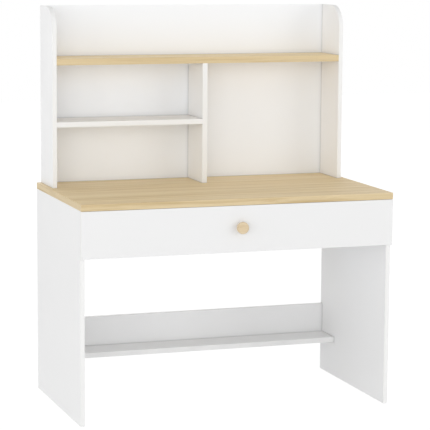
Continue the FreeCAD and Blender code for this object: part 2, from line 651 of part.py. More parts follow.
def drawer_bottom():
    panel_front = minus(BOX_FRONT, S.drawer_groove_depth)
    corner = (plus(LEFT, PANEL_INSET), panel_front, plus(BOX_BOTTOM, S.drawer_bottom_lift))
    depth = plus(BOX_CLEAR_DEPTH, twice(S.drawer_groove_depth))
    Board("drawer_bottom", corner, PANEL_WIDTH, depth, S.drawer_bottom_thickness, eased=False)
    corner = (negative(half(S.brace_width)), BOX_FRONT, BOX_BOTTOM)
    Board("drawer_brace", corner, S.brace_width, BOX_CLEAR_DEPTH, S.drawer_bottom_lift)


def drawer_knob():
    """A turned knob with a stem, bored from behind for its screw, facing the front."""
    radius = half(S.knob_diameter)
    stem = half(S.knob_stem_diameter)
    neck = minus(S.knob_projection, S.knob_head_thickness)
    profile = [("0", "0"), (stem, "0"), (stem, neck), (radius, neck)]
    for step in range(KNOB_FACETS + 1):
        angle = 90 * step / KNOB_FACETS
        out = f"{S.knob_rounding} * (1 - cos({angle} deg))"
        rise = f"{S.knob_rounding} * (1 - sin({angle} deg))"
        profile.append((minus(radius, out), minus(S.knob_projection, rise)))
    knob = revolve("drawer_knob", profile + [("0", S.knob_projection)])
    bore = sketch_on(knob, "XY_Plane")
    polygon(bore, "0", "0", S.knob_screw_diameter, PIN_SIDES)
    pocket(knob, bore, S.knob_screw_bite, reverse=True)
    place(knob, ("0", FRONT, KNOB_CENTRE_HEIGHT), facing("front"))
    NODES.append(knob)


# ---------------------------------------------------------------- runners


def cabinet_runner():
    """Rolled channel on the leg: web, track with an upturned lip and a stop, and upper flange."""
    body = new_body("left_cabinet_runner")
    place(body, (LEG_INNER, RUNNER_FRONT, RUNNER_BOTTOM))
    steel = S.steel_thickness
    reach = minus(S.runner_gap, steel, S.member_gap)
    lip = minus(reach, steel)
    flange = plus(TRACK_HEIGHT, steel, S.track_gap)
    top = plus(flange, steel)
    section = [("0", "0"), (reach, "0"), (reach, S.runner_lip), (lip, S.runner_lip), (lip, steel)]
    section += [(steel, steel), (steel, flange), (reach, flange), (reach, top), ("0", top)]
    sketch = sketch_on(body, "XZ_Plane")
    outline(sketch, section)
    pad(body, sketch, S.runner_length, reverse=True)
    stop = sketch_on(body, "XY_Plane", steel)
    rectangle(stop, ROLLER_OFFSET, stop_front(), S.roller_width, S.stop_length)
    pad(body, stop, S.stop_height)
    web_holes(body, steel, S.roller_inset, reverse=False)
    NODES.append(body)
    return body


def stop_front():
    """Where the stop begins, so that the open drawer's roller rests against its back edge."""
    roller_stands = minus(plus(BOX_FRONT, BACK_ROLLER), S.drawer_travel, RUNNER_FRONT)
    below_axis = minus(ROLLER_RADIUS, minus(S.stop_height, S.rolling_gap))
    ahead = f"sqrt({ROLLER_RADIUS} ^ 2 - {below_axis} ^ 2)"
    return minus(roller_stands, ahead, S.rolling_gap, S.stop_length)


def drawer_runner():
    """Rolled section on the drawer side: foot under the side, web, and track with a lip."""
    body = new_body("left_drawer_runner")
    steel = S.steel_thickness
    start = plus(steel, S.lip_gap)
    place(body, (plus(LEG_INNER, start), BOX_FRONT, RUNNER_BOTTOM))
    web = minus(S.runner_gap, steel, start)
    face = plus(web, steel)
    foot = plus(face, S.runner_foot)
    top = plus(TRACK_HEIGHT, steel)
    lip = minus(TRACK_HEIGHT, S.track_lip)
    section = [(web, "0"), (foot, "0"), (foot, steel), (face, steel), (face, top), ("0", top)]
    section += [("0", lip), (steel, lip), (steel, TRACK_HEIGHT), (web, TRACK_HEIGHT)]
    sketch = sketch_on(body, "XZ_Plane")
    outline(sketch, section)
    pad(body, sketch, S.runner_length, reverse=True)
    web_holes(body, web, BACK_ROLLER, reverse=True)
    NODES.append(body)
    return body


def web_holes(body, height, rivet, reverse):
    """A runner's rivet hole and countersunk screw holes, cut from the open side of its web."""
    sketch = sketch_on(body, "YZ_Plane", height)
    polygon(sketch, rivet, ROLLER_AXIS, S.rivet_diameter, RIVET_SIDES)
    pocket(body, sketch, S.steel_thickness, reverse)
    heads = sketch_on(body, "YZ_Plane", height)
    for along in RUNNER_SCREWS:
        polygon(heads, along, ROLLER_AXIS, RUNNER_SCREW_HEAD, PIN_SIDES)
    pocket(body, heads, S.steel_thickness, reverse, taper=-COUNTERSINK)


def roller(label, corner):
    """A nylon roller that lies along X, with its left end at the corner given."""
    bore = plus(half(S.rivet_diameter), S.rivet_running_gap)
    width = S.roller_width
    profile = [(bore, "0"), (ROLLER_RADIUS, "0"), (ROLLER_RADIUS, width), (bore, width)]
    body = revolve(label, profile)
    place(body, corner, facing("right"))
    NODES.append(body)
    return body


CABINET_RIVET = (LEG_INNER, plus(RUNNER_FRONT, S.roller_inset), AXIS_HEIGHT)
DRAWER_RIVET = (plus(LEG_INNER, S.runner_gap), plus(BOX_FRONT, BACK_ROLLER), AXIS_HEIGHT)


def runners():
    mirrored("right_cabinet_runner", cabinet_runner())
    mirrored("right_drawer_runner", drawer_runner())
    at_cabinet = shift(CABINET_RIVET, "right", ROLLER_OFFSET)
    mirrored("right_cabinet_roller", roller("left_cabinet_roller", at_cabinet))
    at_drawer = shift(DRAWER_RIVET, "left", plus(ROLLER_OFFSET, S.roller_width))
    mirrored("right_drawer_roller", roller("left_drawer_roller", at_drawer))


# ---------------------------------------------------------------- one of each fastener


def stepped(label, steps, sides=PIN_SIDES):
    """A straight fastener that points up, from steps given as (diameter, low end, length)."""
    body = new_body(label)
    for diameter, low, length in steps:
        sketch = sketch_on(body, "XY_Plane", low)
        polygon(sketch, "0", "0", diameter, sides)
        pad(body, sketch, length)
    return body


def headed(label, head_diameter, head_height, diameter, length):
    """A headed pin, with the underside of its head at zero."""
    head = (head_diameter, negative(head_height), head_height)
    return stepped(label, [head, (diameter, "0", length)])


def cam_bolt():
    """A bolt whose thread is below zero, in the board's face, and its shank above."""
    thread = (S.cam_thread_diameter, negative(S.cam_thread_length), S.cam_thread_length)
    return stepped("cam_bolt", [thread, (S.cam_bolt_diameter, "0", S.cam_reach)])


def cam_lock():
    """A cam lock with its driven face at zero. Its bolt comes in along X, from the right."""
    body = stepped("cam_lock", [(S.cam_diameter, negative(S.cam_depth), S.cam_depth)], LOCK_SIDES)
    bolt_radius = plus(half(S.cam_bolt_diameter), S.cam_play)
    mouth = sketch_on(body, "XY_Plane", minus(bolt_radius, S.cam_axis_depth))
    mouth_length = plus(half(S.cam_diameter), S.cam_play)
    corner = (negative(S.cam_play), negative(bolt_radius))
    rectangle(mouth, *corner, mouth_length, twice(bolt_radius))
    pocket(body, mouth, S.cam_depth)
    recess = sketch_on(body, "XY_Plane")
    length = S.cam_recess_length
    width = S.cam_recess_width
    rectangle(recess, negative(half(length)), negative(half(width)), length, width)
    pocket(body, recess, S.cam_recess_depth)
    return body


def dowel():
    return stepped("dowel", [(S.dowel_diameter, negative(S.dowel_face_depth), S.dowel_length)])


def runner_screw():
    """A countersunk screw with the top of its head at zero, as deep as the web is thick."""
    body = new_body("runner_screw")
    head = sketch_on(body, "XY_Plane")
    polygon(head, "0", "0", RUNNER_SCREW_HEAD, PIN_SIDES)
    pad(body, head, S.steel_thickness, taper=-COUNTERSINK)
    shank = sketch_on(body, "XY_Plane", S.steel_thickness)
    polygon(shank, "0", "0", S.runner_screw_diameter, PIN_SIDES)
    pad(body, shank, RUNNER_SCREW_BITE)
    return body


def roller_rivet():
    """Shank through the web, collar, bearing for the roller, and head. The web's back is at zero."""
    collar = plus(S.steel_thickness, S.rivet_collar)
    bearing = plus(S.roller_width, twice(S.roller_play))
    steps = [
        (S.rivet_diameter, "0", S.steel_thickness),
        (S.rivet_head_diameter, S.steel_thickness, S.rivet_collar),
        (S.rivet_diameter, collar, bearing),
        (S.rivet_head_diameter, plus(collar, bearing), S.rivet_head_height),
    ]
    return stepped("roller_rivet", steps, RIVET_SIDES)


# ---------------------------------------------------------------- where the fasteners go


def flat(list_of_lists):
    return [spot for spots in list_of_lists for spot in spots]


def pointed(spots):
    """Spots for a group, from points and the way each fastener points."""
    return [(point, facing(way)) for point, way in spots]


def locked(fittings):
    """Spots for the cam locks of fittings: a point where the bolt starts, its way, and the lock's."""
    spots = []
    for point, way, lock_faces in fittings:
        centre = shift(shift(point, way, S.cam_reach), lock_faces, S.cam_axis_depth)
        to_bolt = -WAYS[way]
        outward = WAYS[lock_faces]
        spots.append((centre, Rotation(to_bolt, outward.cross(to_bolt), outward, "ZXY")))
    return spots


def cam_fittings(label_start, fittings, bolt, lock):
    group(f"{label_start}cam_bolts", bolt, pointed((point, way) for point, way, faces in fittings))
    group(f"{label_start}cam_locks", lock, locked(fittings))


def desk_cam_fittings():
    bolt_x = minus(LEG_INNER, S.cam_axis_depth)
    fittings = [both_sides((bolt_x, plus(LEG_FRONT, y), UNDER_TOP), "down", "right") for y in LEG_CAMS]
    bolt_y = minus(BACK, S.cam_axis_depth)
    for bottom, height in ((APRON_BOTTOM, S.apron_height), (S.lower_rail_lift, S.lower_rail_height)):
        point = (LEG_INNER, bolt_y, rail_bolt_height(bottom, height))
        fittings.append(both_sides(point, "right", "back"))
    point = (SHELF_LEFT, plus(HUTCH_FRONT, S.shelf_joint_inset), plus(S.desk_height, SHELF_BOLT))
    fittings.append(both_sides(point, "right", "down"))
    return flat(fittings)


def desk_dowels():
    spots = [both_sides((LEG_MIDDLE, plus(LEG_FRONT, half(LEG_DEPTH)), UNDER_TOP), "down")]
    rail_y = minus(BACK, half(S.rail_thickness))
    for bottom in (APRON_BOTTOM, S.lower_rail_lift):
        spots.append(both_sides((LEG_INNER, rail_y, plus(bottom, RAIL_DOWEL_HEIGHT)), "right"))
    foot_height = plus(S.lower_rail_lift, half(S.foot_board_thickness))
    spots.append(both_sides((LEG_INNER, FOOT_MIDDLE, foot_height), "right"))
    shelf_y = plus(HUTCH_FRONT, SHELF_BACK_JOINT)
    spots.append(both_sides((SHELF_LEFT, shelf_y, plus(S.desk_height, SHELF_MIDDLE)), "right"))
    for y in (plus(HUTCH_FRONT, along) for along in SHELF_JOINTS):
        over_divider = (plus(SHELF_LEFT, DIVIDER_MIDDLE), y, plus(S.desk_height, SHELF_BOTTOM))
        shelf_end = (SHELF_LEFT, y, plus(S.desk_height, SMALL_SHELF_MIDDLE))
        other_end = shift(shelf_end, "right", S.left_bay_width)
        spots.append([(over_divider, "down"), (shelf_end, "right"), (other_end, "left")])
    return flat(spots)


def desk_confirmats():
    head = S.confirmat_head_height
    spots = []
    for upright in UPRIGHTS:
        for y in UPRIGHT_SCREWS:
            spots.append(((plus(LEFT, upright), plus(HUTCH_FRONT, y), plus(UNDER_TOP, head)), "up"))
    foot_height = plus(S.lower_rail_lift, half(S.foot_board_thickness))
    for x in FOOT_SCREWS:
        spots.append(((plus(LEG_INNER, x), minus(BACK, head), foot_height), "front"))
    return spots


def runner_screw_spots(web_face, runner_front, way):
    points = [(web_face, plus(runner_front, along), AXIS_HEIGHT) for along in RUNNER_SCREWS]
    return flat(both_sides(point, way) for point in points)


def fasteners():
    bolt = cam_bolt()
    lock = cam_lock()
    wooden = dowel()
    cam_fittings("", desk_cam_fittings(), bolt, lock)
    bolt_x = minus(plus(LEFT, BOX_INNER_INSET), S.cam_axis_depth)
    drawer_bolt = (bolt_x, BOX_FRONT, plus(BOX_BOTTOM, S.drawer_cam_height))
    cam_fittings("drawer_", both_sides(drawer_bolt, "back", "right"), bolt, lock)
    group("dowels", wooden, pointed(desk_dowels()))
    dowel_x = plus(LEFT, BOX_INSET, half(S.drawer_side_thickness))
    drawer_dowel = (dowel_x, BOX_FRONT, plus(BOX_BOTTOM, S.drawer_dowel_height))
    group("drawer_dowels", wooden, pointed(both_sides(drawer_dowel, "back")))

    head = (S.confirmat_head_diameter, S.confirmat_head_height)
    shank_length = minus(S.confirmat_length, S.confirmat_head_height)
    confirmat = headed("confirmat", *head, S.confirmat_diameter, shank_length)
    group("confirmat_screws", confirmat, pointed(desk_confirmats()))
    head = (S.panel_screw_head_diameter, S.panel_screw_head_height)
    panel_screw = headed("panel_screw", *head, S.panel_screw_diameter, S.panel_screw_length)
    behind_panel = plus(HUTCH_FRONT, SHELF_DEPTH, S.back_panel_thickness)
    panel_spot = (plus(SHELF_LEFT, S.panel_screw_inset), behind_panel, plus(S.desk_height, SHELF_MIDDLE))
    group("back_panel_screws", panel_screw, pointed(both_sides(panel_spot, "front")))
    head = (S.knob_screw_head_diameter, S.knob_screw_head_height)
    knob_length = plus(S.drawer_front_thickness, S.knob_screw_bite)
    knob_screw = headed("knob_screw", *head, S.knob_screw_diameter, knob_length)
    place(knob_screw, ("0", BOX_FRONT, KNOB_CENTRE_HEIGHT), facing("front"))
    NODES.append(knob_screw)

    screw = runner_screw()
    on_leg = runner_screw_spots(plus(LEG_INNER, S.steel_thickness), RUNNER_FRONT, "left")
    group("runner_screws", screw, pointed(on_leg))
    drawer_web = plus(LEG_INNER, minus(S.runner_gap, S.steel_thickness))
    on_drawer = runner_screw_spots(drawer_web, BOX_FRONT, "right")
    group("drawer_runner_screws", screw, pointed(on_drawer))
    rivet = roller_rivet()
    group("cabinet_roller_rivets", rivet, pointed(both_sides(CABINET_RIVET, "right")))
    group("drawer_roller_rivets", rivet, pointed(both_sides(DRAWER_RIVET, "left")))


# ---------------------------------------------------------------- the whole desk


def build():
    right_leg = negative(LEFT)
    bolt_in_left = minus(S.leg_thickness, S.cam_axis_depth)
    desktop()
    leg_panel("left_leg", LEFT, "right", bolt_in_left)
    leg_panel("right_leg", minus(right_leg, S.leg_thickness), "left", S.cam_axis_depth)
    rail("back_apron", APRON_BOTTOM, S.apron_height)
    foot_rail()
    right_side = minus(right_leg, SHELF_INSET)
    hutch_side("hutch_left_side", plus(LEFT, S.hutch_inset), "right", holds_small_shelf=True)
    hutch_side("hutch_right_side", right_side, "left", holds_small_shelf=False)
    oak_shelf()
    divider()
    small_shelf()
    back_panel()
    drawer_front()
    bolt_in_left = minus(S.drawer_side_thickness, S.cam_axis_depth)
    drawer_side("drawer_left_side", plus(LEFT, BOX_INSET), "right", bolt_in_left)
    drawer_side("drawer_right_side", minus(right_leg, BOX_INNER_INSET), "left", S.cam_axis_depth)
    drawer_back()
    drawer_bottom()
    drawer_knob()
    runners()
    fasteners()


def write_parts():
    DOCUMENT.recompute()
    for item in DOCUMENT.Objects:
        if {"Invalid", "Error"} & set(item.State):
            raise RuntimeError(f"{item.Label} failed: {item.State}")
    for piece in NODES:
        if piece.Shape.isNull() or not piece.Shape.isValid():
            raise RuntimeError(f"{piece.Label} has no valid shape")
    os.makedirs("parts", exist_ok=True)
    for piece in NODES:
        piece.Shape.exportStep(f"parts/{piece.Label}.step")
    print(len(NODES), "nodes written")


build()
write_parts()
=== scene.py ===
"""Looks of the student desk with a hutch: finishes, turned and cast fittings, stage and camera."""

import math

import bmesh
import bpy
from mathutils import Euler, Matrix, Vector


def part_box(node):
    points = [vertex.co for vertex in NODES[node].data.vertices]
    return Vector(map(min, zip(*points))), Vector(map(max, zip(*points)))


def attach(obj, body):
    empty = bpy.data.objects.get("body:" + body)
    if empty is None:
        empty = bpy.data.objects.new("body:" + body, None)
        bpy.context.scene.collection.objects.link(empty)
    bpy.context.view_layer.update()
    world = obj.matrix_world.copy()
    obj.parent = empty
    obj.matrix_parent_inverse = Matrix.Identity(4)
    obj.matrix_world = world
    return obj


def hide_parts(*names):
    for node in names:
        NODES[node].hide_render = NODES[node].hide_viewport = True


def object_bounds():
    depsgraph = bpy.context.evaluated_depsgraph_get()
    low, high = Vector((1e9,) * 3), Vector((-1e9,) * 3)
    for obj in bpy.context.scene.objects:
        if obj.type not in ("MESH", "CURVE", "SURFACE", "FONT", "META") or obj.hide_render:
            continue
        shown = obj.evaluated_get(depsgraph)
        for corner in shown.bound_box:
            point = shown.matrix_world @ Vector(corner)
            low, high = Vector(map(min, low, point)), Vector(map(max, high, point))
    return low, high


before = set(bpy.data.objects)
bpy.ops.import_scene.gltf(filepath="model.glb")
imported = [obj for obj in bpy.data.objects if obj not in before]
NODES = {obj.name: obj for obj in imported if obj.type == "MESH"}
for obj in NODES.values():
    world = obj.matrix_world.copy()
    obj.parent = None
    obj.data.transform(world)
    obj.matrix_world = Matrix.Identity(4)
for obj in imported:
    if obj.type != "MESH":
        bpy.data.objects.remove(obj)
CAD_BOX = [list(corner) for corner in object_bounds()]

bl_info = {
    "name": "Student desk looks",
    "version": (1, 0, 0),
    "blender": (4, 5, 0),
    "location": "View3D > Sidebar > Desk",
    "description": "Finishes, fittings and stage of the desk with a hutch",
    "category": "Object",
}

WHITE_BOARDS = (
    "left_leg",
    "right_leg",
    "back_apron",
    "lower_rail",
    "foot_board",
    "hutch_left_side",
    "hutch_right_side",
    "divider",
    "small_shelf",
)
DRAWER_BOARDS = ("drawer_front", "drawer_left_side", "drawer_right_side", "drawer_back")
OAK_BOARDS = ("desktop", "oak_shelf")
HARDBOARDS = ("back_panel", "drawer_bottom")
CARCASS = (*WHITE_BOARDS, *OAK_BOARDS, "back_panel")
DRAWER = (*DRAWER_BOARDS, "drawer_bottom", "drawer_brace")
MEMBERS = ("left_cabinet", "right_cabinet", "left_drawer", "right_drawer")
STEEL_RUNNERS = tuple(f"{member}_runner" for member in MEMBERS)
ROLLERS = tuple(f"{member}_roller" for member in MEMBERS)
WOODEN_PINS = ("dowels", "drawer_dowels")

# A face looks along an axis when this much of its normal does.
FACING = 0.75

# How near boards touch, and how far the soft painted shade and the painted shadow line of the
# crease reach from a joint.
TOUCH = 0.0005
CORNER_SHADE_REACH = 0.02
CREASE_SHADOW_WIDTH = 0.003
# How much darker the painted shade and the painted shadow line make a board right at the joint.
CORNER_SHADE_DEPTH = 0.09
CREASE_SHADOW_DEPTH = 0.2

# The edge band of a white board, and the glue line beside it.
BAND_THICKNESS = 0.0008
SEAM_WIDTH = 0.0003
SEAM_DEPTH = 0.25
GLUE = (0.5, 0.5, 0.48)

# How fine each layer of the oak decor is, along the grain and twice across it.
OAK_DRIFT = (0.9, 3.0, 3.0)
OAK_BANDS = (0.5, 14.0, 14.0)
OAK_STREAKS = (1.6, 75.0, 75.0)
OAK_LINES = (3.0, 260.0, 260.0)
OAK_PORES = (14.0, 1100.0, 1100.0)
# How far the grain wanders sideways, and how much paler the decor is on top than on edges.
OAK_WANDER = 0.05
OAK_EDGE_TONE = 0.14

# Points of a mesh that lie this near each other are one.
SAME_PLACE = 1e-6
# How many sides the turned pieces have.
SCREW_SIDES = 24
RIVET_SIDES = 40
LOCK_SIDES = 48
ROLLER_SIDES = 64
KNOB_SIDES = 96
KNOB_ROUND_STEPS = 8
# What lies this near the desk's ends is in a leg.
LEG_ZONE = 0.02
# How far from its ring an edge of the knob may lie.
RING_SLACK = 5e-5
# How wide a driver's cross is at its bottom beside its top.
CROSS_TAPER = 0.5

WHITE = (1.0, 1.0, 1.0)
# The white of the floor is this much brighter for each share of shadow that it shows.
SHADOW_MAKE_UP = 0.6
# Rays no longer than this many floor gaps pass through the floor, so no line shows at the feet.
CLEAR_GAPS = 8
LAMP_AIM = Vector((0, 0, 0.7))
# Each lamp, by its setting's name: turned round from the front, and lifted, in degrees.
LAMPS = {
    "left_lamp": (-65, 6),
    "front_lamp": (-27, 5),
    "right_lamp": (45, 6),
    "back_lamp": (180, 6),
    "top_lamp": (0, 88),
}


def linear(red, green, blue):
    """A colour written as 0 to 255 on screen, as the linear values that Blender keeps."""
    channels = []
    for written in (red, green, blue):
        part = written / 255
        channels.append(part / 12.92 if part <= 0.04045 else ((part + 0.055) / 1.055) ** 2.4)
    return tuple(channels)


# ---- sizes and colours


def colour(name, description, default):
    """A colour setting, as linear values."""
    return bpy.props.FloatVectorProperty(
        name=name, description=description, subtype="COLOR", min=0, max=1, default=default
    )


def length(name, description, default):
    """A length setting in metres."""
    return bpy.props.FloatProperty(
        name=name, description=description, default=default, min=0,
        subtype="DISTANCE", unit="LENGTH",
    )


def share(name, description, default):
    """A setting from 0 to 1."""
    return bpy.props.FloatProperty(
        name=name, description=description, default=default, min=0, max=1, subtype="FACTOR"
    )


def brightness(name, description, default):
    """A light's setting: how bright it makes a white surface that faces it, where 1 is white."""
    return bpy.props.FloatProperty(name=name, description=description, default=default, min=0)


class DeskFinishes(bpy.types.PropertyGroup):
    white: colour("White", "White melamine of the desk and hutch", linear(245, 245, 245))
    # The drawer's white is the desk's melamine set darker, as painted shade, so that its front
    # looks no more lit than the desk's sides.
    shaded_drawer_white: colour("Drawer white", "White melamine of the drawer", linear(239, 239, 239))
    # The edge band is a strip of its own; its white is set a little darker than the faces as
    # painted shade on the board edges.
    band_white_and_shade: colour("Edge band", "Edge band of the white boards", linear(243, 243, 242))
    hardboard: colour("Hardboard", "Painted hardboard of back and drawer", linear(250, 252, 255))
    oak_light: colour("Oak, light", "Palest grain of the oak decor", linear(241, 221, 182))
    oak_middle: colour("Oak, middle", "Ground of the oak decor", linear(232, 208, 161))
    oak_dark: colour("Oak, dark", "Darkest grain of the oak decor", linear(206, 178, 128))
    knob_light: colour("Knob, light", "Palest grain of the knob", linear(228, 209, 176))
    knob_dark: colour("Knob, dark", "Darkest grain of the knob", linear(206, 182, 144))
    softwood: colour("Softwood", "Batten under the drawer", linear(224, 198, 156))
    beech: colour("Beech", "Dowels", linear(214, 180, 138))
    steel_coat: colour("Runner coat", "Epoxy coat of the runners", linear(238, 238, 235))
    plating: colour("Plating", "Zinc plating of the screws", linear(206, 206, 200))
    casting: colour("Casting", "Die-cast zinc of the cam locks", linear(184, 185, 186))
    nylon: colour("Nylon", "Rollers of the runners", linear(236, 235, 226))


class KnobSizes(bpy.types.PropertyGroup):
    rim_rounding: length("Rim rounding", "Rounding of the knob's front rim", 0.0045)
    back_rounding: length("Back rounding", "Rounding behind the knob's head", 0.0025)
    cove: length("Cove", "Hollow that the stem flares through", 0.0015)
    dish: length("Dish", "How far the middle of the face stands back", 0.0004)
    head_share: share("Head", "How much of the knob's reach its head takes", 0.56)
    stem_share: share("Stem", "How wide the stem is beside the head", 0.5)
    rim_share: share("Dish rim", "How wide the slope round the dish is beside the radius", 0.25)


class FittingSizes(bpy.types.PropertyGroup):
    lock_diameter: length("Lock", "Diameter of a cam lock", 0.0146)
    lock_depth: length("Lock depth", "Depth of a cam lock", 0.0124)
    lock_sink: length("Lock sink", "How far a lock's face stands below the board's", 0.0002)
    lock_rim: length("Lock rim", "Bevel round a lock's face", 0.0005)
    lock_recess: length("Lock recess", "Length of each arm of a lock's cross", 0.008)
    lock_recess_depth: length("Lock recess depth", "Depth of a lock's cross", 0.002)
    lock_bolt_depth: length("Bolt depth", "From a lock's face to the axis of its bolt", 0.0075)
    lock_mouth: length("Lock mouth", "Width of the opening for the bolt", 0.0072)
    confirmat_head: length("Connector head", "Head of a one-piece connector", 0.0092)
    confirmat_shank: length("Connector shank", "Shank of a one-piece connector", 0.0064)
    runner_screw_head: length("Runner screw head", "Head of a runner's screw", 0.0054)
    runner_screw_shank: length("Runner screw shank", "Shank of a runner's screw", 0.0032)
    panel_screw_head: length("Panel screw head", "Head of a back panel's screw", 0.0064)
    panel_screw_shank: length("Panel screw shank", "Shank of a back panel's screw", 0.0027)
    knob_screw_head: length("Knob screw head", "Head of the knob's screw", 0.0073)
    knob_screw_shank: length("Knob screw shank", "Shank of the knob's screw", 0.0036)
    cam_bolt_head: length("Cam bolt head", "Ball and collar of a cam bolt", 0.0064)
    rivet_head: length("Rivet head", "Head and collar of a rivet", 0.0077)
    rivet_shank: length("Rivet shank", "Bearing of a rivet", 0.0058)
    roller_bore: length("Roller bore", "Bore of a roller", 0.0061)
    roller_wall: length("Roller wall", "Thickness of a roller's hub and rim", 0.0017)
    roller_hollow: length("Roller hollow", "Depth of the hollow in a roller's side", 0.0008)
    roller_rim: length("Roller rim", "Rounding of a roller's rim", 0.0005)


class StageSettings(bpy.types.PropertyGroup):
    floor_width: length("Floor", "Side of the square floor", 24.0)
    floor_gap: length("Floor gap", "How far the floor lies below the legs", 0.0005)
    floor_shadow: share("Floor shadow", "How much of the desk's shadow the white floor shows", 0.14)
    floor_colour: colour("Floor colour", "What the floor throws at the desk", linear(253, 253, 253))
    sky: brightness("Sky", "Even light from all round", 0.636)
    left_lamp: brightness("Left lamp", "Light of the lamp on the left", 0.145)
    front_lamp: brightness("Front lamp", "Light of the lamp in front", 0.220)
    right_lamp: brightness("Right lamp", "Light of the lamp in front and on the right", 0.187)
    back_lamp: brightness("Back lamp", "Light of the lamp behind", 0.187)
    top_lamp: brightness("Top lamp", "Light of the lamp overhead", 0.02)
    lamp_width: length("Lamp width", "Side of each square lamp", 5.0)
    lamp_distance: length("Lamp distance", "How far each lamp hangs from the desk's middle", 9.0)
    lens: bpy.props.FloatProperty(
        name="Lens", description="Focal length of the camera", default=160.627
    )
    camera_place: bpy.props.FloatVectorProperty(
        name="Camera", description="Where the camera stands", subtype="XYZ", unit="LENGTH",
        default=(-2.14204, -6.22746, 1.59758),
    )
    camera_turn: bpy.props.FloatVectorProperty(
        name="Turn", description="Camera down, to the right and rolled",
        subtype="EULER", unit="ROTATION",
        default=tuple(math.radians(angle) for angle in (8.2271, 19.0347, 0.4116)),
    )


# ---- finishes, node by node


class Tree:
    """The nodes of a material or a world, and short ways to add to them."""

    def __init__(self, owner):
        owner.use_nodes = True
        self.tree = owner.node_tree
        self.tree.nodes.clear()

    def node(self, kind, sources=None, **settings):
        """A new node with these settings, its inputs fed by number or name."""
        node = self.tree.nodes.new(f"ShaderNode{kind}")
        for setting, choice in settings.items():
            setattr(node, setting, choice)
        for socket, source in (sources or {}).items():
            self.feed(node.inputs[socket], source)
        return node

    def feed(self, socket, source):
        """Links another node's output to the socket, or writes a constant into it."""
        if isinstance(source, bpy.types.NodeSocket):
            self.tree.links.new(source, socket)
        elif socket.type == "RGBA":
            socket.default_value = (*source[:3], 1.0)
        elif socket.type == "VECTOR":
            socket.default_value = source[:3]
        else:
            socket.default_value = source

    def math(self, operation, first, second=0.0, third=0.0):
        return self.node("Math", {0: first, 1: second, 2: third}, operation=operation).outputs[0]

    def looking(self):
        """1 for rays from the camera or off a gloss, and 0 for those that carry light."""
        rays = self.node("LightPath").outputs
        return self.math("MAXIMUM", rays["Is Camera Ray"], rays["Is Glossy Ray"])


class Finish(Tree):
    """A material with one Principled shader, and short ways to feed it."""

    def __init__(self, name, constants):
        self.material = bpy.data.materials.new(name)
        super().__init__(self.material)
        self.shader = self.node("BsdfPrincipled", constants)
        self.node("OutputMaterial", {"Surface": self.shader.outputs["BSDF"]})
        coordinates = self.node("TexCoord").outputs
        self.place = coordinates["Object"]
        self.normal = coordinates["Normal"]

    def set(self, **sources):
        """Feeds the shader's sockets, such as Base_Color for its Base Color."""
        for socket, source in sources.items():
            self.feed(self.shader.inputs[socket.replace("_", " ")], source)

    def vector(self, operation, first, second=(0.0, 0.0, 0.0)):
        return self.node("VectorMath", {0: first, 1: second}, operation=operation).outputs[0]

    def scaled(self, vector, factor):
        return self.node("VectorMath", {0: vector, "Scale": factor}, operation="SCALE").outputs[0]

    def split(self, vector):
        return self.node("SeparateXYZ", {0: vector}).outputs

    def noise(self, vector, scale, detail=2.0, roughness=0.5, distortion=0.0):
        sources = {"Vector": vector, "Scale": scale, "Detail": detail}
        sources.update({"Roughness": roughness, "Distortion": distortion})
        return self.node("TexNoise", sources).outputs["Fac"]

    def grain(self, vector, fineness, **settings):
        """Noise with its own fineness along each axis."""
        place = self.node("Mapping", {"Vector": vector, "Scale": fineness}).outputs[0]
        return self.noise(place, scale=1.0, **settings)

    def spread(self, level, low, high, to_low=0.0, to_high=1.0):
        """The level, with low to high spread over 0 to 1 or another range, and no further."""
        sources = {"Value": level, "From Min": low, "From Max": high}
        sources.update({"To Min": to_low, "To Max": to_high})
        return self.node("MapRange", sources, clamp=True).outputs[0]

    def mixed(self, factor, first, second):
        return self.node("Mix", {0: factor, 6: first, 7: second}, data_type="RGBA").outputs[2]

    def mixed_places(self, factor, first, second):
        return self.node("Mix", {0: factor, 4: first, 5: second}, data_type="VECTOR").outputs[1]

    def toned(self, ground, level, amount):
        """The ground colour, lighter and darker by the amount as the level goes from 0 to 1."""
        return self.scaled(ground, self.spread(level, 0.0, 1.0, 1 - amount, 1 + amount))

    def bump(self, height, distance, strength=1.0):
        sources = {"Height": height, "Distance": distance, "Strength": strength}
        return self.node("Bump", sources).outputs[0]


def dress(names, material):
    """Gives CAD nodes this material alone."""
    for name in names:
        slots = NODES[name].data.materials
        slots.clear()
        slots.append(material)


def edge_distance(finish, node):
    """How far a point of a board's broad face is from its edge, and 0 on the edge itself."""
    low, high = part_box(node)
    size = high - low
    thin = min(range(3), key=lambda axis: size[axis])
    away = finish.split(finish.vector("SUBTRACT", finish.place, (low + high) / 2))
    gaps = [
        finish.math("SUBTRACT", size[axis] / 2, finish.math("ABSOLUTE", away[axis]))
        for axis in range(3)
        if axis != thin
    ]
    across = finish.math("ABSOLUTE", finish.split(finish.normal)[thin])
    on_face = finish.math("GREATER_THAN", across, FACING)
    return finish.math("MULTIPLY", finish.math("MINIMUM", *gaps), on_face)


def joined(node):
    """The boards of the same body that a board touches."""
    boards = CARCASS if node in CARCASS else DRAWER
    low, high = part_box(node)
    found = []
    for other in boards:
        other_low, other_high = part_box(other)
        meets = [
            other_low[axis] < high[axis] + TOUCH and low[axis] < other_high[axis] + TOUCH
            for axis in range(3)
        ]
        if other != node and all(meets):
            found.append(other)
    return found


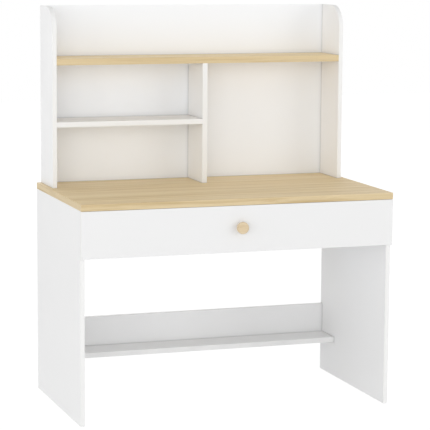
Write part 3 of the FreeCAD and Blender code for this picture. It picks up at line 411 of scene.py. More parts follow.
def corner_shaded(finish, node, ground):
    """The ground colour, with painted shade towards the inner corners that a board makes with its
    neighbours.

    Each point is lifted off the face by the reach, so that a flush neighbour stays out of reach.
    """
    lifted = finish.vector("ADD", finish.place, finish.scaled(finish.normal, CORNER_SHADE_REACH))
    nearest = CORNER_SHADE_REACH
    for other in joined(node):
        low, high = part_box(other)
        away = finish.vector("ABSOLUTE", finish.vector("SUBTRACT", lifted, (low + high) / 2))
        outside = finish.vector("MAXIMUM", finish.vector("SUBTRACT", away, (high - low) / 2))
        gap = finish.node("VectorMath", {0: outside}, operation="LENGTH").outputs["Value"]
        nearest = finish.math("MINIMUM", gap, nearest)
    # Painted shade: a soft darkening into each inner corner, and a thin painted shadow line at the
    # joint itself.
    soft = finish.math("POWER", finish.spread(nearest, CORNER_SHADE_REACH, 0.0), 2.0)
    left_by_soft_shade = finish.math("MULTIPLY_ADD", soft, -CORNER_SHADE_DEPTH, 1.0)
    crease = finish.spread(nearest, CREASE_SHADOW_WIDTH, 0.0)
    left_by_shadow_line = finish.math("MULTIPLY_ADD", crease, -CREASE_SHADOW_DEPTH, 1.0)
    return finish.scaled(ground, finish.math("MULTIPLY", left_by_soft_shade, left_by_shadow_line))


def melamine(node, ground, band):
    """Melamine with a fine pearl, and its edge band with the glue line beside it."""
    finish = Finish(f"melamine_{node}", {"Specular IOR Level": 0.42})
    gap = edge_distance(finish, node)
    cloud = finish.noise(finish.place, scale=3.0, detail=3.0)
    board = finish.toned(ground, cloud, 0.006)
    on_band = finish.spread(gap, BAND_THICKNESS, BAND_THICKNESS - SEAM_WIDTH)
    from_seam = finish.math("ABSOLUTE", finish.math("SUBTRACT", gap, BAND_THICKNESS))
    seam = finish.spread(from_seam, SEAM_WIDTH, 0.0, to_high=SEAM_DEPTH)
    # The band's white carries painted shade on the board edges.
    banded = finish.mixed(on_band, board, band)
    # The board's colour gets painted shade in its inner corners and a painted shadow line along its
    # joints.
    finish.set(Base_Color=corner_shaded(finish, node, finish.mixed(seam, banded, GLUE)))
    pearl = finish.noise(finish.place, scale=700.0, detail=3.0, roughness=0.6)
    handled = finish.noise(finish.place, scale=9.0, detail=4.0, roughness=0.6)
    finish.set(Roughness=finish.spread(handled, 0.3, 0.7, 0.42, 0.55))
    finish.set(Normal=finish.bump(pearl, distance=0.00008, strength=0.35))
    return finish.material


def along_grain(finish):
    """Places with X along the grain, turned on a board's ends and wandering a little."""
    across_end = finish.math("ABSOLUTE", finish.split(finish.normal)[0])
    on_end = finish.math("GREATER_THAN", across_end, FACING)
    across, back, up = finish.split(finish.place)
    end_place = finish.node("CombineXYZ", {0: back, 1: up, 2: across}).outputs[0]
    place = finish.mixed_places(on_end, finish.place, end_place)
    drift = finish.grain(place, OAK_DRIFT)
    aside = finish.math("MULTIPLY", finish.math("SUBTRACT", drift, 0.5), OAK_WANDER)
    return finish.vector("ADD", place, finish.node("CombineXYZ", {1: aside, 2: aside}).outputs[0])


def oak_decor(node):
    """Oak grain along the board, with bands, streaks, fine pores and darker edges."""
    finishes = bpy.context.scene.desk_finishes
    finish = Finish(f"oak_{node}", {"Specular IOR Level": 0.38})
    place = along_grain(finish)
    bands = finish.grain(place, OAK_BANDS, detail=3.0, roughness=0.55)
    streaks = finish.grain(place, OAK_STREAKS, detail=5.0, roughness=0.62)
    lines = finish.grain(place, OAK_LINES, detail=3.0, roughness=0.6)
    pores = finish.grain(place, OAK_PORES)
    bands = finish.spread(bands, 0.30, 0.70)
    streaks = finish.spread(streaks, 0.32, 0.68)
    pores = finish.spread(pores, 0.36, 0.30, to_high=0.35)
    pale = finish.mixed(bands, finishes.oak_middle, finishes.oak_light)
    dark_share = finish.spread(streaks, 0.55, 0.0, to_high=0.75)
    grained = finish.mixed(dark_share, pale, finishes.oak_dark)
    pore_colour = tuple(0.62 * level for level in finishes.oak_dark)
    pored = finish.mixed(pores, finish.toned(grained, lines, 0.05), pore_colour)
    upward = finish.math("ABSOLUTE", finish.split(finish.normal)[2])
    off_edge = finish.spread(upward, 0.4, 0.6, to_high=0.5)
    # The decor gets painted shade in its inner corners and a painted shadow line along its joints.
    finish.set(Base_Color=corner_shaded(finish, node, finish.toned(pored, off_edge, OAK_EDGE_TONE)))
    finish.set(Roughness=finish.spread(streaks, 0.0, 1.0, 0.56, 0.46))
    relief = finish.math("SUBTRACT", finish.math("MULTIPLY", lines, 0.4), pores)
    finish.set(Normal=finish.bump(relief, distance=0.00012, strength=0.5))
    return finish.material


def hardboard(node):
    """Painted hardboard: flat white with the faint weave that its press leaves."""
    finish = Finish(f"hardboard_{node}", {"Specular IOR Level": 0.3})
    ground = bpy.context.scene.desk_finishes.hardboard
    cloud = finish.noise(finish.place, scale=2.2, detail=4.0, roughness=0.6)
    fibres = finish.noise(finish.place, scale=420.0, detail=3.0, roughness=0.6)
    # The hardboard gets painted shade in its inner corners and a painted shadow line along its
    # joints.
    finish.set(Base_Color=corner_shaded(finish, node, finish.toned(ground, cloud, 0.008)))
    finish.set(Roughness=finish.spread(fibres, 0.3, 0.7, 0.55, 0.68))
    finish.set(Normal=finish.bump(fibres, distance=0.0001, strength=0.4))
    return finish.material


def solid_wood(name, light, dark, along, scale, ring_contrast=0.8):
    """Bare or oiled wood, grained along the axis that has the smallest number."""
    finish = Finish(name, {"Specular IOR Level": 0.35})
    fineness = scale * Vector(along)
    rings = finish.grain(finish.place, fineness, detail=4.0, roughness=0.6, distortion=0.4)
    fine = finish.grain(finish.place, 6 * fineness, detail=3.0, roughness=0.6)
    ring_share = finish.spread(rings, 0.35, 0.65, to_high=ring_contrast)
    finish.set(Base_Color=finish.toned(finish.mixed(ring_share, light, dark), fine, 0.06))
    finish.set(Roughness=finish.spread(fine, 0.3, 0.7, 0.5, 0.64))
    finish.set(Normal=finish.bump(fine, distance=0.00015, strength=0.5))
    return finish.material


def coated_steel():
    """White epoxy powder coat on rolled steel."""
    finish = Finish("runner_coat", {"Specular IOR Level": 0.5})
    ground = bpy.context.scene.desk_finishes.steel_coat
    peel = finish.noise(finish.place, scale=380.0)
    rub = finish.grain(finish.place, (60.0, 4.0, 60.0), detail=3.0, roughness=0.6)
    finish.set(Base_Color=finish.toned(ground, rub, 0.02))
    finish.set(Roughness=finish.spread(rub, 0.3, 0.7, 0.28, 0.4))
    finish.set(Normal=finish.bump(peel, distance=0.00006, strength=0.4))
    return finish.material


def zinc(name, ground, rough, fineness):
    """Plated or die-cast zinc, mottled and a little scratched."""
    finish = Finish(name, {"Metallic": 1.0})
    mottle = finish.noise(finish.place, scale=fineness, detail=4.0, roughness=0.7)
    finish.set(Base_Color=finish.toned(ground, mottle, 0.12))
    finish.set(Roughness=finish.spread(mottle, 0.3, 0.7, rough, rough + 0.15))
    finish.set(Normal=finish.bump(mottle, distance=0.0001, strength=0.3))
    return finish.material


def nylon():
    """Natural nylon, slightly waxy."""
    finish = Finish("nylon", {"Specular IOR Level": 0.45, "Subsurface Weight": 0.08})
    ground = bpy.context.scene.desk_finishes.nylon
    cloud = finish.noise(finish.place, scale=160.0, detail=3.0)
    finish.set(Base_Color=finish.toned(ground, cloud, 0.03))
    finish.set(Roughness=finish.spread(cloud, 0.3, 0.7, 0.36, 0.48))
    finish.set(Normal=finish.bump(cloud, distance=0.00008, strength=0.3))
    return finish.material


# ---- modelling


def deselect():
    if bpy.context.mode != "OBJECT":
        bpy.ops.object.mode_set(mode="OBJECT")
    bpy.ops.object.select_all(action="DESELECT")


def pick(*pieces):
    """Selects these pieces alone, and makes the first one active."""
    deselect()
    for piece in pieces:
        piece.select_set(True)
    bpy.context.view_layer.objects.active = pieces[0]


def select_in_edit(piece, wanted, kind="faces"):
    """Selects in edit mode the faces or edges whose middle and normal pass the test."""
    mesh = bmesh.from_edit_mesh(piece.data)
    for part in (*mesh.faces, *mesh.edges, *mesh.verts):
        part.select = False
    for part in getattr(mesh, kind):
        if kind == "faces":
            passed = wanted(part.calc_center_median(), part.normal)
        else:
            passed = wanted(sum((corner.co for corner in part.verts), Vector()) / 2)
        if passed:
            part.select = True
    mesh.select_flush_mode()
    bmesh.update_edit_mesh(piece.data)


def apply_modifier(piece, kind, **settings):
    """Adds a modifier with these settings and applies it."""
    modifier = piece.modifiers.new(kind.lower(), kind)
    for setting, choice in settings.items():
        setattr(modifier, setting, choice)
    bpy.context.view_layer.objects.active = piece
    bpy.ops.object.modifier_apply(modifier=modifier.name)


def smooth(piece, angle=40):
    """Shades smooth what turns less than the angle, in degrees."""
    pick(piece)
    bpy.ops.object.shade_smooth_by_angle(angle=math.radians(angle))


def turned(profile, sides, ring=False):
    """A piece turned about Z from (radius, height) steps, with capped ends or closed as a ring."""
    radius, height = profile[0]
    deselect()
    bpy.ops.mesh.primitive_circle_add(
        vertices=sides, radius=radius, location=(0, 0, height),
        fill_type="NOTHING" if ring else "NGON",
    )
    piece = bpy.context.active_object
    bpy.ops.object.transform_apply(location=True)
    bpy.ops.object.mode_set(mode="EDIT")
    bpy.ops.mesh.select_all(action="SELECT")
    for new_radius, new_height in [*profile[1:], *profile[:ring]]:
        up = new_height - height
        bpy.ops.mesh.extrude_region_move(TRANSFORM_OT_translate={"value": (0, 0, up)})
        wider = new_radius / radius
        bpy.ops.transform.resize(value=(wider, wider, 1), center_override=(0, 0, new_height))
        radius, height = new_radius, new_height
    bpy.ops.mesh.select_all(action="SELECT")
    bpy.ops.mesh.remove_doubles(threshold=SAME_PLACE)
    bpy.ops.mesh.normals_make_consistent(inside=False)
    bpy.ops.object.mode_set(mode="OBJECT")
    return piece


def threaded(root, crest, top, tip, pitch):
    """Steps of a thread's outline, from its top end down to its tip."""
    steps = []
    height = top
    while height - pitch > tip:
        steps += [(root, height), (root, height - 0.3 * pitch), (crest, height - 0.65 * pitch)]
        height -= pitch
    return [*steps, (root, height), (0.2 * root, tip)]


def cut(piece, cutter):
    """Cuts a finished cutter out of the piece, and leaves no cutter behind."""
    apply_modifier(piece, "BOOLEAN", operation="DIFFERENCE", object=cutter, solver="EXACT")
    bpy.data.objects.remove(cutter)


def cut_cross(piece, length, width, depth, top=0.0):
    """A tapered cross recess for a driver, in the top of a piece."""
    for turn in (0, math.radians(90)):
        deselect()
        bpy.ops.mesh.primitive_cube_add(size=2, location=(0, 0, top), rotation=(0, 0, turn))
        cutter = bpy.context.active_object
        bpy.ops.object.mode_set(mode="EDIT")
        bpy.ops.mesh.select_all(action="SELECT")
        bpy.ops.transform.resize(
            value=(length / 2, width / 2, depth), center_override=(0, 0, top),
            orient_matrix=Matrix.Rotation(turn, 3, "Z").transposed(), orient_type="LOCAL",
        )
        select_in_edit(cutter, lambda middle, normal: normal.z < -FACING)
        taper = (CROSS_TAPER, CROSS_TAPER, 1)
        bpy.ops.transform.resize(value=taper, center_override=(0, 0, top - depth))
        bpy.ops.object.mode_set(mode="OBJECT")
        cut(piece, cutter)


def cut_hexagon(piece, across, depth):
    """A hexagon socket in the top of a piece."""
    deselect()
    radius = across / 2 / math.cos(math.radians(30))
    bpy.ops.mesh.primitive_cylinder_add(vertices=6, radius=radius, depth=2 * depth)
    cut(piece, bpy.context.active_object)


def solids(node):
    """The lowest and highest corner of each solid in a CAD node."""
    mesh = bmesh.new()
    mesh.from_mesh(NODES[node].data)
    bmesh.ops.remove_doubles(mesh, verts=mesh.verts, dist=SAME_PLACE)
    waiting = set(mesh.verts)
    boxes = []
    while waiting:
        found = {waiting.pop()}
        newest = set(found)
        while newest:
            newest = {edge.other_vert(vert) for vert in newest for edge in vert.link_edges} - found
            found |= newest
        waiting -= found
        places = [vert.co for vert in found]
        low = Vector(min(place[axis] for place in places) for axis in range(3))
        high = Vector(max(place[axis] for place in places) for axis in range(3))
        boxes.append((low, high))
    mesh.free()
    return sorted(boxes, key=lambda box: tuple(round(number, 5) for number in box[0]))


def inward(centre, size):
    """Towards the middle of the desk. Each face function takes a solid's centre and size."""
    return Vector((-math.copysign(1, centre.x), 0, 0))


def outward(centre, size):
    return -inward(centre, size)


def backward(centre, size):
    return Vector((0, 1, 0))


def down_or_back(centre, size):
    """Upright screws show their heads below, and lying ones behind."""
    return Vector((0, 0, -1)) if size.z > size.y else backward(centre, size)


def down_or_inward(centre, size):
    return Vector((0, 0, -1)) if size.z > size.x else inward(centre, size)


def lock_face(centre, size):
    """A cam lock's face looks along its short side: inward, to the back or down."""
    short = min(range(3), key=lambda axis: size[axis])
    return (inward(centre, size), backward(centre, size), Vector((0, 0, -1)))[short]


def bolt_side(facing, centre):
    """The side that a lock's bolt comes in from, and a fixed side for what has no bolt.

    Locks in the desk's own sides take theirs from above, and those in the drawer's from the front.
    """
    if facing.x == 0:
        return Vector((math.copysign(1, centre.x), 0, 0))
    in_leg = abs(centre.x) > CAD_BOX[1][0] - LEG_ZONE
    return Vector((0, 0, 1)) if in_leg else Vector((0, -1, 0))


def set_out(master, node, face):
    """Joined copies of a piece made face up at zero: one on each solid of the CAD node."""
    made = []
    for low, high in solids(node):
        centre = (low + high) / 2
        size = high - low
        facing = face(centre, size)
        side = bolt_side(facing, centre)
        pick(master)
        bpy.ops.object.duplicate(linked=False)
        copy = bpy.context.active_object
        point = centre + facing * abs(facing.dot(size)) / 2
        turn = Matrix((side, facing.cross(side), facing)).transposed()
        copy.matrix_world = Matrix.Translation(point) @ turn.to_4x4()
        made.append(copy)
    bpy.data.objects.remove(master)
    pick(*made)
    if len(made) > 1:
        bpy.ops.object.join()
    return made[0]


def settle(piece, name, material, body, replaced):
    """Puts a finished piece's place into its mesh, gives it its material and body, and hides the
    CAD node it stands for.
    """
    pick(piece)
    bpy.ops.object.transform_apply(location=True, rotation=True, scale=True)
    piece.name = name
    piece.data.name = name
    piece.data.materials.clear()
    piece.data.materials.append(material)
    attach(piece, body)
    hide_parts(replaced)


# ---- operators, one for each job


class PaintWhiteBoards(bpy.types.Operator):
    """White melamine with its edge bands on the desk, hutch and drawer boards"""

    bl_idname = "desk.paint_white_boards"
    bl_label = "White boards"

    def execute(self, context):
        finishes = context.scene.desk_finishes
        for node in WHITE_BOARDS:
            dress((node,), melamine(node, finishes.white, finishes.band_white_and_shade))
        # The drawer boards take the darker copy of the white: painted shade.
        for node in DRAWER_BOARDS:
            dress((node,), melamine(node, finishes.shaded_drawer_white, finishes.band_white_and_shade))
        return {"FINISHED"}


class GrainOakBoards(bpy.types.Operator):
    """Oak decor on the desktop and the upper shelf"""

    bl_idname = "desk.grain_oak_boards"
    bl_label = "Oak boards"

    def execute(self, context):
        for node in OAK_BOARDS:
            dress((node,), oak_decor(node))
        return {"FINISHED"}


class CoatHardboards(bpy.types.Operator):
    """White hardboard of the hutch's back and the drawer's bottom"""

    bl_idname = "desk.coat_hardboards"
    bl_label = "Hardboards"

    def execute(self, context):
        for node in HARDBOARDS:
            dress((node,), hardboard(node))
        return {"FINISHED"}


class FinishSmallWood(bpy.types.Operator):
    """Bare softwood of the drawer's batten and beech of the dowels"""

    bl_idname = "desk.finish_small_wood"
    bl_label = "Batten and dowels"

    def execute(self, context):
        finishes = context.scene.desk_finishes
        pine_dark = tuple(0.78 * level for level in finishes.softwood)
        beech_dark = tuple(0.8 * level for level in finishes.beech)
        pine = solid_wood("softwood", finishes.softwood, pine_dark, (1.0, 0.03, 1.0), 90.0)
        dress(("drawer_brace",), pine)
        dress(WOODEN_PINS, solid_wood("beech", finishes.beech, beech_dark, (1.0, 1.0, 1.0), 300.0))
        return {"FINISHED"}


class CoatRunners(bpy.types.Operator):
    """White epoxy coat on the four runners"""

    bl_idname = "desk.coat_runners"
    bl_label = "Runners"

    def execute(self, context):
        dress(STEEL_RUNNERS, coated_steel())
        return {"FINISHED"}


class CastLocks(bpy.types.Operator):
    """Die-cast cam locks with a cross recess, a pointer and a mouth for the bolt"""

    bl_idname = "desk.cast_locks"
    bl_label = "Cam locks"

    def execute(self, context):
        finishes = context.scene.desk_finishes
        metal = zinc("zinc_casting", finishes.casting, rough=0.42, fineness=520.0)
        for node, body in (("cam_locks", "carcass"), ("drawer_cam_locks", "drawer")):
            locks = set_out(self.lock(context.scene.desk_fittings), node, lock_face)
            smooth(locks, angle=20)
            settle(locks, f"cast_{node}", metal, body, node)
        return {"FINISHED"}

    def lock(self, sizes):
        """A lock that lies face up at zero, with its bolt coming in along X."""
        radius = sizes.lock_diameter / 2
        face = -sizes.lock_sink
        rim = sizes.lock_rim
        back = -sizes.lock_depth
        outline = [(radius - rim, back), (radius, back + rim), (radius, face - rim)]
        outline += [(radius - 0.3 * rim, face - 0.3 * rim), (radius - rim, face)]
        piece = turned(outline, LOCK_SIDES)
        arm = sizes.lock_recess
        cut_cross(piece, length=arm, width=0.24 * arm, depth=sizes.lock_recess_depth, top=face)
        self.cut_pointer(piece, radius, face, rim)
        self.cut_mouth(piece, radius, -sizes.lock_bolt_depth, back, sizes.lock_mouth)
        return piece

    def cut_pointer(self, piece, radius, face, rim):
        """A small triangle in the face that points to the bolt."""
        deselect()
        bpy.ops.mesh.primitive_cylinder_add(
            vertices=3, radius=0.15 * radius, depth=2 * rim, location=(0.78 * radius, 0, face),
            rotation=(0, 0, math.radians(-90)),
        )
        cut(piece, bpy.context.active_object)

    def cut_mouth(self, piece, radius, bolt, back, mouth):
        """The opening for the bolt's head, from over its axis to the back of the lock."""
        deselect()
        bpy.ops.mesh.primitive_cube_add(
            size=1, location=(radius / 2, 0, (bolt + mouth / 2 + back) / 2 - mouth / 4),
            scale=(radius + mouth / 8, mouth, bolt + mouth - back),
        )
        cut(piece, bpy.context.active_object)


class TurnScrews(bpy.types.Operator):
    """Screws and bolts of plated steel, with driver recesses and threads"""

    bl_idname = "desk.turn_screws"
    bl_label = "Screws and bolts"

    def execute(self, context):
        sizes = context.scene.desk_fittings
        finishes = context.scene.desk_finishes
        metal = zinc("zinc_plating", finishes.plating, rough=0.3, fineness=260.0)
        for node, body, master, face in (
            ("confirmat_screws", "carcass", self.confirmat(sizes), down_or_back),
            ("runner_screws", "carcass", self.countersunk(sizes), inward),
            ("drawer_runner_screws", "drawer", self.countersunk(sizes), outward),
            ("back_panel_screws", "carcass", self.round_headed(sizes), backward),
            ("knob_screw", "drawer", self.machine_screw(sizes), backward),
            ("cam_bolts", "carcass", self.cam_bolt(sizes), down_or_inward),
            ("drawer_cam_bolts", "drawer", self.cam_bolt(sizes), backward),
        ):
            screws = set_out(master, node, face)
            smooth(screws, angle=35)
            settle(screws, f"turned_{node}", metal, body, node)
        return {"FINISHED"}

    # Each outline goes in steps of (radius, height), from the head at zero down to the tip.

    def confirmat(self, sizes):
        """A one-piece connector with a small cone head, a smooth neck and a coarse thread."""
        head = sizes.confirmat_head / 2
        shank = sizes.confirmat_shank / 2
        outline = [(head - 0.0002, 0.0), (head, -0.0003), (shank, -0.0025), (shank, -0.012)]
        outline += threaded(0.68 * shank, shank, top=-0.013, tip=-0.0498, pitch=0.003)
        screw = turned(outline, SCREW_SIDES)
        cut_hexagon(screw, across=0.004, depth=0.003)
        return screw

    def countersunk(self, sizes):
        """A short countersunk screw that holds a runner."""
        head = sizes.runner_screw_head / 2
        shank = sizes.runner_screw_shank / 2
        outline = [(head - 0.0001, -0.0001), (head, -0.0002), (shank, -0.0012)]
        outline += threaded(0.7 * shank, shank, top=-0.0016, tip=-0.0098, pitch=0.0013)
        screw = turned(outline, SCREW_SIDES)
        cut_cross(screw, length=0.0032, width=0.0008, depth=0.001)
        return screw

    def round_headed(self, sizes):
        """A round-headed screw that holds the back panel."""
        head = sizes.panel_screw_head / 2
        shank = sizes.panel_screw_shank / 2
        outline = [(0.25 * head, 0.0), (0.6 * head, -0.0002), (0.86 * head, -0.0007)]
        outline += [(head, -0.0014), (head, -0.0018), (shank, -0.0018)]
        outline += threaded(0.7 * shank, shank, top=-0.0025, tip=-0.0176, pitch=0.0012)
        screw = turned(outline, SCREW_SIDES)
        cut_cross(screw, length=0.0036, width=0.0008, depth=0.0013)
        return screw

    def machine_screw(self, sizes):
        """The knob's screw, with a low round head and a fine thread."""
        head = sizes.knob_screw_head / 2
        shank = sizes.knob_screw_shank / 2
        outline = [(0.45 * head, 0.0), (0.8 * head, -0.0003), (head, -0.0011), (head, -0.0025)]
        outline += [(shank, -0.0025)]
        outline += threaded(0.85 * shank, shank, top=-0.004, tip=-0.0292, pitch=0.0012)
        screw = turned(outline, SCREW_SIDES)
        cut_cross(screw, length=0.0046, width=0.001, depth=0.0015)
        return screw

    def cam_bolt(self, sizes):
        """A bolt whose ball end is at the top, and whose thread goes into the board's face."""
        ball = sizes.cam_bolt_head / 2
        neck = 0.68 * ball
        outline = [(0.5 * ball, 0.0), (ball, -0.0012), (ball, -0.0034), (neck, -0.0046)]
        outline += [(neck, -0.018), (ball, -0.020), (ball, -0.024)]
        outline += threaded(0.5 * ball, 0.7 * ball, top=-0.0242, tip=-0.0349, pitch=0.0018)
        return turned(outline, SCREW_SIDES)


class SetRivets(bpy.types.Operator):
    """Rivets with a collar and a domed head, which the rollers turn on"""

    bl_idname = "desk.set_rivets"
    bl_label = "Rivets"

    def execute(self, context):
        finishes = context.scene.desk_finishes
        metal = zinc("rivet_steel", finishes.plating, rough=0.26, fineness=300.0)
        for node, body, face in (
            ("cabinet_roller_rivets", "carcass", inward),
            ("drawer_roller_rivets", "drawer", outward),
        ):
            rivets = set_out(self.rivet(context.scene.desk_fittings), node, face)
            smooth(rivets, angle=35)
            settle(rivets, f"domed_{node}", metal, body, node)
        return {"FINISHED"}

    def rivet(self, sizes):
        """A thin head, the bearing for the roller, a collar and the stub in the runner."""
        head = sizes.rivet_head / 2
        shank = sizes.rivet_shank / 2
        outline = [(0.4 * head, 0.0), (0.8 * head, -0.0002), (0.97 * head, -0.0006)]
        outline += [(head, -0.001), (shank, -0.001), (shank, -0.007)]
        outline += [(head, -0.007), (head, -0.009), (shank, -0.009), (shank, -0.0102)]
        return turned(outline, RIVET_SIDES)


class MouldRollers(bpy.types.Operator):
    """Nylon rollers with rounded rims, a hub and a hollow on both sides"""

    bl_idname = "desk.mould_rollers"
    bl_label = "Rollers"

    def execute(self, context):
        plastic = nylon()
        for node in ROLLERS:
            roller = set_out(self.roller(context.scene.desk_fittings, node), node, inward)
            smooth(roller, angle=35)
            settle(roller, f"moulded_{node}", plastic, node, node)
        return {"FINISHED"}

    def roller(self, sizes, node):
        """One side of the roller from bore to rim, and the same side again at its other end."""
        low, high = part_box(node)
        radius = (high.z - low.z) / 2
        width = high.x - low.x
        bore = sizes.roller_bore / 2
        hub = bore + sizes.roller_wall
        web = radius - sizes.roller_wall
        hollow = sizes.roller_hollow
        rim = sizes.roller_rim
        slope = 0.3 * hollow
        side = [(bore, 0.0), (hub, 0.0), (hub + slope, -hollow), (web - slope, -hollow), (web, 0.0)]
        side += [(radius - rim, 0.0), (radius - 0.3 * rim, -0.3 * rim), (radius, -rim)]
        other = [(across, -width - height) for across, height in reversed(side)]
        return turned([*side, *other], ROLLER_SIDES, ring=True)


class TurnKnob(bpy.types.Operator):
    """Turned wooden knob with a rounded rim, a faintly dished face and a flared stem"""

    bl_idname = "desk.turn_knob"
    bl_label = "Turned knob"

    def execute(self, context):
        knob = self.knob(context.scene.desk_knob)
        smooth(knob)
        finishes = context.scene.desk_finishes
        light, dark = finishes.knob_light, finishes.knob_dark
        wood = solid_wood("knob_wood", light, dark, (0.05, 0.3, 1.0), 230.0, ring_contrast=0.7)
        settle(knob, "turned_knob", wood, "drawer", "drawer_knob")
        return {"FINISHED"}

    def knob(self, sizes):
        """The knob in its place, drawn forward from the back of its stem."""
        low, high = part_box("drawer_knob")
        radius = (high.x - low.x) / 2
        centre = (low + high) / 2
        reach = high.y - low.y
        head = sizes.head_share * reach
        stem = sizes.stem_share * radius
        deselect()
        bpy.ops.mesh.primitive_circle_add(
            vertices=KNOB_SIDES, radius=stem, fill_type="NGON",
            location=(centre.x, high.y, centre.z), rotation=(math.radians(90), 0, 0),
        )
        knob = bpy.context.active_object
        bpy.ops.object.mode_set(mode="EDIT")
        bpy.ops.mesh.select_all(action="SELECT")
        width = stem
        for forward, new_width in (
            (reach - head - sizes.cove, stem),
            (sizes.cove, stem + sizes.cove),
            (0.0, radius),
            (head, radius),
        ):
            bpy.ops.mesh.extrude_region_move(TRANSFORM_OT_translate={"value": (0, -forward, 0)})
            wider = new_width / width
            bpy.ops.transform.resize(value=(wider, 1, wider))
            width = new_width
        # A flat ring keeps the dish clear of the rim's round.
        bpy.ops.mesh.inset(thickness=1.3 * sizes.rim_rounding)
        bpy.ops.mesh.inset(thickness=sizes.rim_share * radius)
        bpy.ops.transform.translate(value=(0, sizes.dish, 0))
        bpy.ops.mesh.select_all(action="SELECT")
        bpy.ops.mesh.normals_make_consistent(inside=False)
        self.round_ring(knob, low.y, radius, centre, sizes.rim_rounding)
        self.round_ring(knob, low.y + head, radius, centre, sizes.back_rounding)
        bpy.ops.object.mode_set(mode="OBJECT")
        return knob

    def round_ring(self, knob, along, radius, centre, rounding):
        """Bevels the ring of edges at this depth and radius into a round."""
        depth = (knob.matrix_world.inverted() @ Vector((centre.x, along, centre.z))).z

        def on_ring(middle):
            off_ring = math.hypot(middle.x, middle.y) - radius
            return abs(middle.z - depth) < RING_SLACK and abs(off_ring) < RING_SLACK

        select_in_edit(knob, on_ring, "edges")
        bpy.ops.mesh.bevel(offset=rounding, segments=KNOB_ROUND_STEPS, profile=0.5)


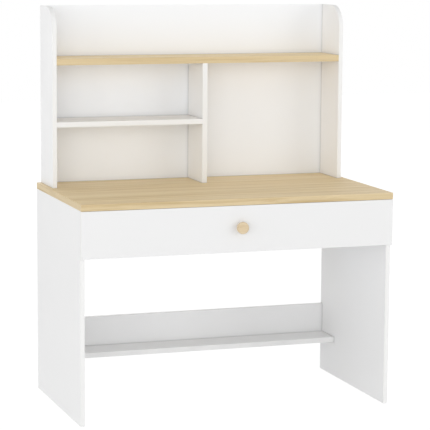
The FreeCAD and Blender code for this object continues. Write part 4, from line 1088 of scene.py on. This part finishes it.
class SetStage(bpy.types.Operator):
    """White floor, even sky, five large soft lamps and the camera"""

    bl_idname = "desk.set_stage"
    bl_label = "Stage"

    def execute(self, context):
        stage = context.scene.desk_stage
        deselect()
        bpy.ops.mesh.primitive_plane_add(size=stage.floor_width, location=(0, 0, -stage.floor_gap))
        floor = context.active_object
        floor.name = "floor"
        floor.data.materials.append(self.floor_paint(stage))
        self.set_sky(context, stage)
        for name, angles in LAMPS.items():
            self.hang_lamp(stage, name, *map(math.radians, angles))
        self.place_camera(context, stage)
        return {"FINISHED"}

    def floor_paint(self, stage):
        """White where the camera looks, with a share of the real shadow, and clear from below."""
        paint = bpy.data.materials.new("white_floor")
        tree = Tree(paint)
        strength = 1 + SHADOW_MAKE_UP * stage.floor_shadow
        plain = tree.node("Emission", {"Color": WHITE, "Strength": strength}).outputs[0]
        shaded = tree.node("BsdfDiffuse", {"Color": WHITE}).outputs[0]
        seen = tree.node("MixShader", {0: stage.floor_shadow, 1: plain, 2: shaded}).outputs[0]
        thrown_back = tree.node("BsdfDiffuse", {"Color": stage.floor_colour}).outputs[0]
        upper = tree.node("MixShader", {0: tree.looking(), 1: thrown_back, 2: seen}).outputs[0]
        distance = tree.node("LightPath").outputs["Ray Length"]
        touching = tree.math("LESS_THAN", distance, CLEAR_GAPS * stage.floor_gap)
        below = tree.node("NewGeometry").outputs["Backfacing"]
        unseen = tree.math("MAXIMUM", below, touching)
        clear = tree.node("BsdfTransparent").outputs[0]
        surface = tree.node("MixShader", {0: unseen, 1: upper, 2: clear}).outputs[0]
        tree.node("OutputMaterial", {"Surface": surface})
        return paint

    def set_sky(self, context, stage):
        """An even sky that lights the desk, and plain white behind it."""
        world = bpy.data.worlds.new("white_room")
        context.scene.world = world
        tree = Tree(world)
        light = tree.node("Background", {"Color": WHITE, "Strength": stage.sky}).outputs[0]
        plain = tree.node("Background", {"Color": WHITE}).outputs[0]
        sky = tree.node("MixShader", {0: tree.looking(), 1: light, 2: plain}).outputs[0]
        tree.node("OutputWorld", {"Surface": sky})

    def hang_lamp(self, stage, name, azimuth, elevation):
        """A lamp turned round from the front and lifted, as bright at the desk as it is set."""
        aside = math.cos(elevation) * math.sin(azimuth)
        ahead = -math.cos(elevation) * math.cos(azimuth)
        away = Vector((aside, ahead, math.sin(elevation)))
        deselect()
        place = LAMP_AIM + stage.lamp_distance * away
        bpy.ops.object.light_add(type="AREA", location=place)
        lamp = bpy.context.active_object
        lamp.name = name
        lamp.data.shape = "SQUARE"
        lamp.data.size = stage.lamp_width
        lamp.data.energy = getattr(stage, name) * (math.pi * stage.lamp_distance) ** 2
        lamp.rotation_euler = away.to_track_quat("Z", "Y").to_euler()

    def place_camera(self, context, stage):
        """The camera, level and looking along Y until it is turned across, down and rolled."""
        data = bpy.data.cameras.new("camera")
        data.lens = stage.lens
        camera = bpy.data.objects.new("camera", data)
        context.collection.objects.link(camera)
        down, across, roll = stage.camera_turn
        unrolled = Euler((math.radians(90) - down, 0, -across)).to_matrix()
        camera.rotation_euler = (unrolled @ Matrix.Rotation(roll, 3, "Z")).to_euler()
        camera.location = stage.camera_place
        context.scene.camera = camera
        context.scene.view_settings.view_transform = "Standard"


class DeskPanel(bpy.types.Panel):
    """The finishes, pieces and stage of the desk"""

    bl_idname = "VIEW3D_PT_student_desk"
    bl_label = "Student desk"
    bl_space_type = "VIEW_3D"
    bl_region_type = "UI"
    bl_category = "Desk"

    def draw(self, context):
        for operator in OPERATORS:
            self.layout.operator(operator.bl_idname)
        for group in SETTINGS:
            settings = getattr(context.scene, group)
            for name in settings.bl_rna.properties.keys():
                if name not in ("rna_type", "name"):
                    self.layout.prop(settings, name)


SETTINGS = {
    "desk_finishes": DeskFinishes,
    "desk_knob": KnobSizes,
    "desk_fittings": FittingSizes,
    "desk_stage": StageSettings,
}
OPERATORS = (
    PaintWhiteBoards,
    GrainOakBoards,
    CoatHardboards,
    FinishSmallWood,
    CoatRunners,
    CastLocks,
    TurnScrews,
    SetRivets,
    MouldRollers,
    TurnKnob,
    SetStage,
)
CLASSES = (*SETTINGS.values(), *OPERATORS, DeskPanel)


def register():
    """Registers every class and hangs the settings on the scene."""
    for item in CLASSES:
        bpy.utils.register_class(item)
    for name, group in SETTINGS.items():
        setattr(bpy.types.Scene, name, bpy.props.PointerProperty(type=group))


def unregister():
    """Takes away what register() added."""
    for name in SETTINGS:
        delattr(bpy.types.Scene, name)
    for item in reversed(CLASSES):
        bpy.utils.unregister_class(item)


def main():
    """Runs every operator in order."""
    register()
    for operator in OPERATORS:
        family, name = operator.bl_idname.split(".")
        getattr(getattr(bpy.ops, family), name)()


if __name__ == "__main__":
    main()
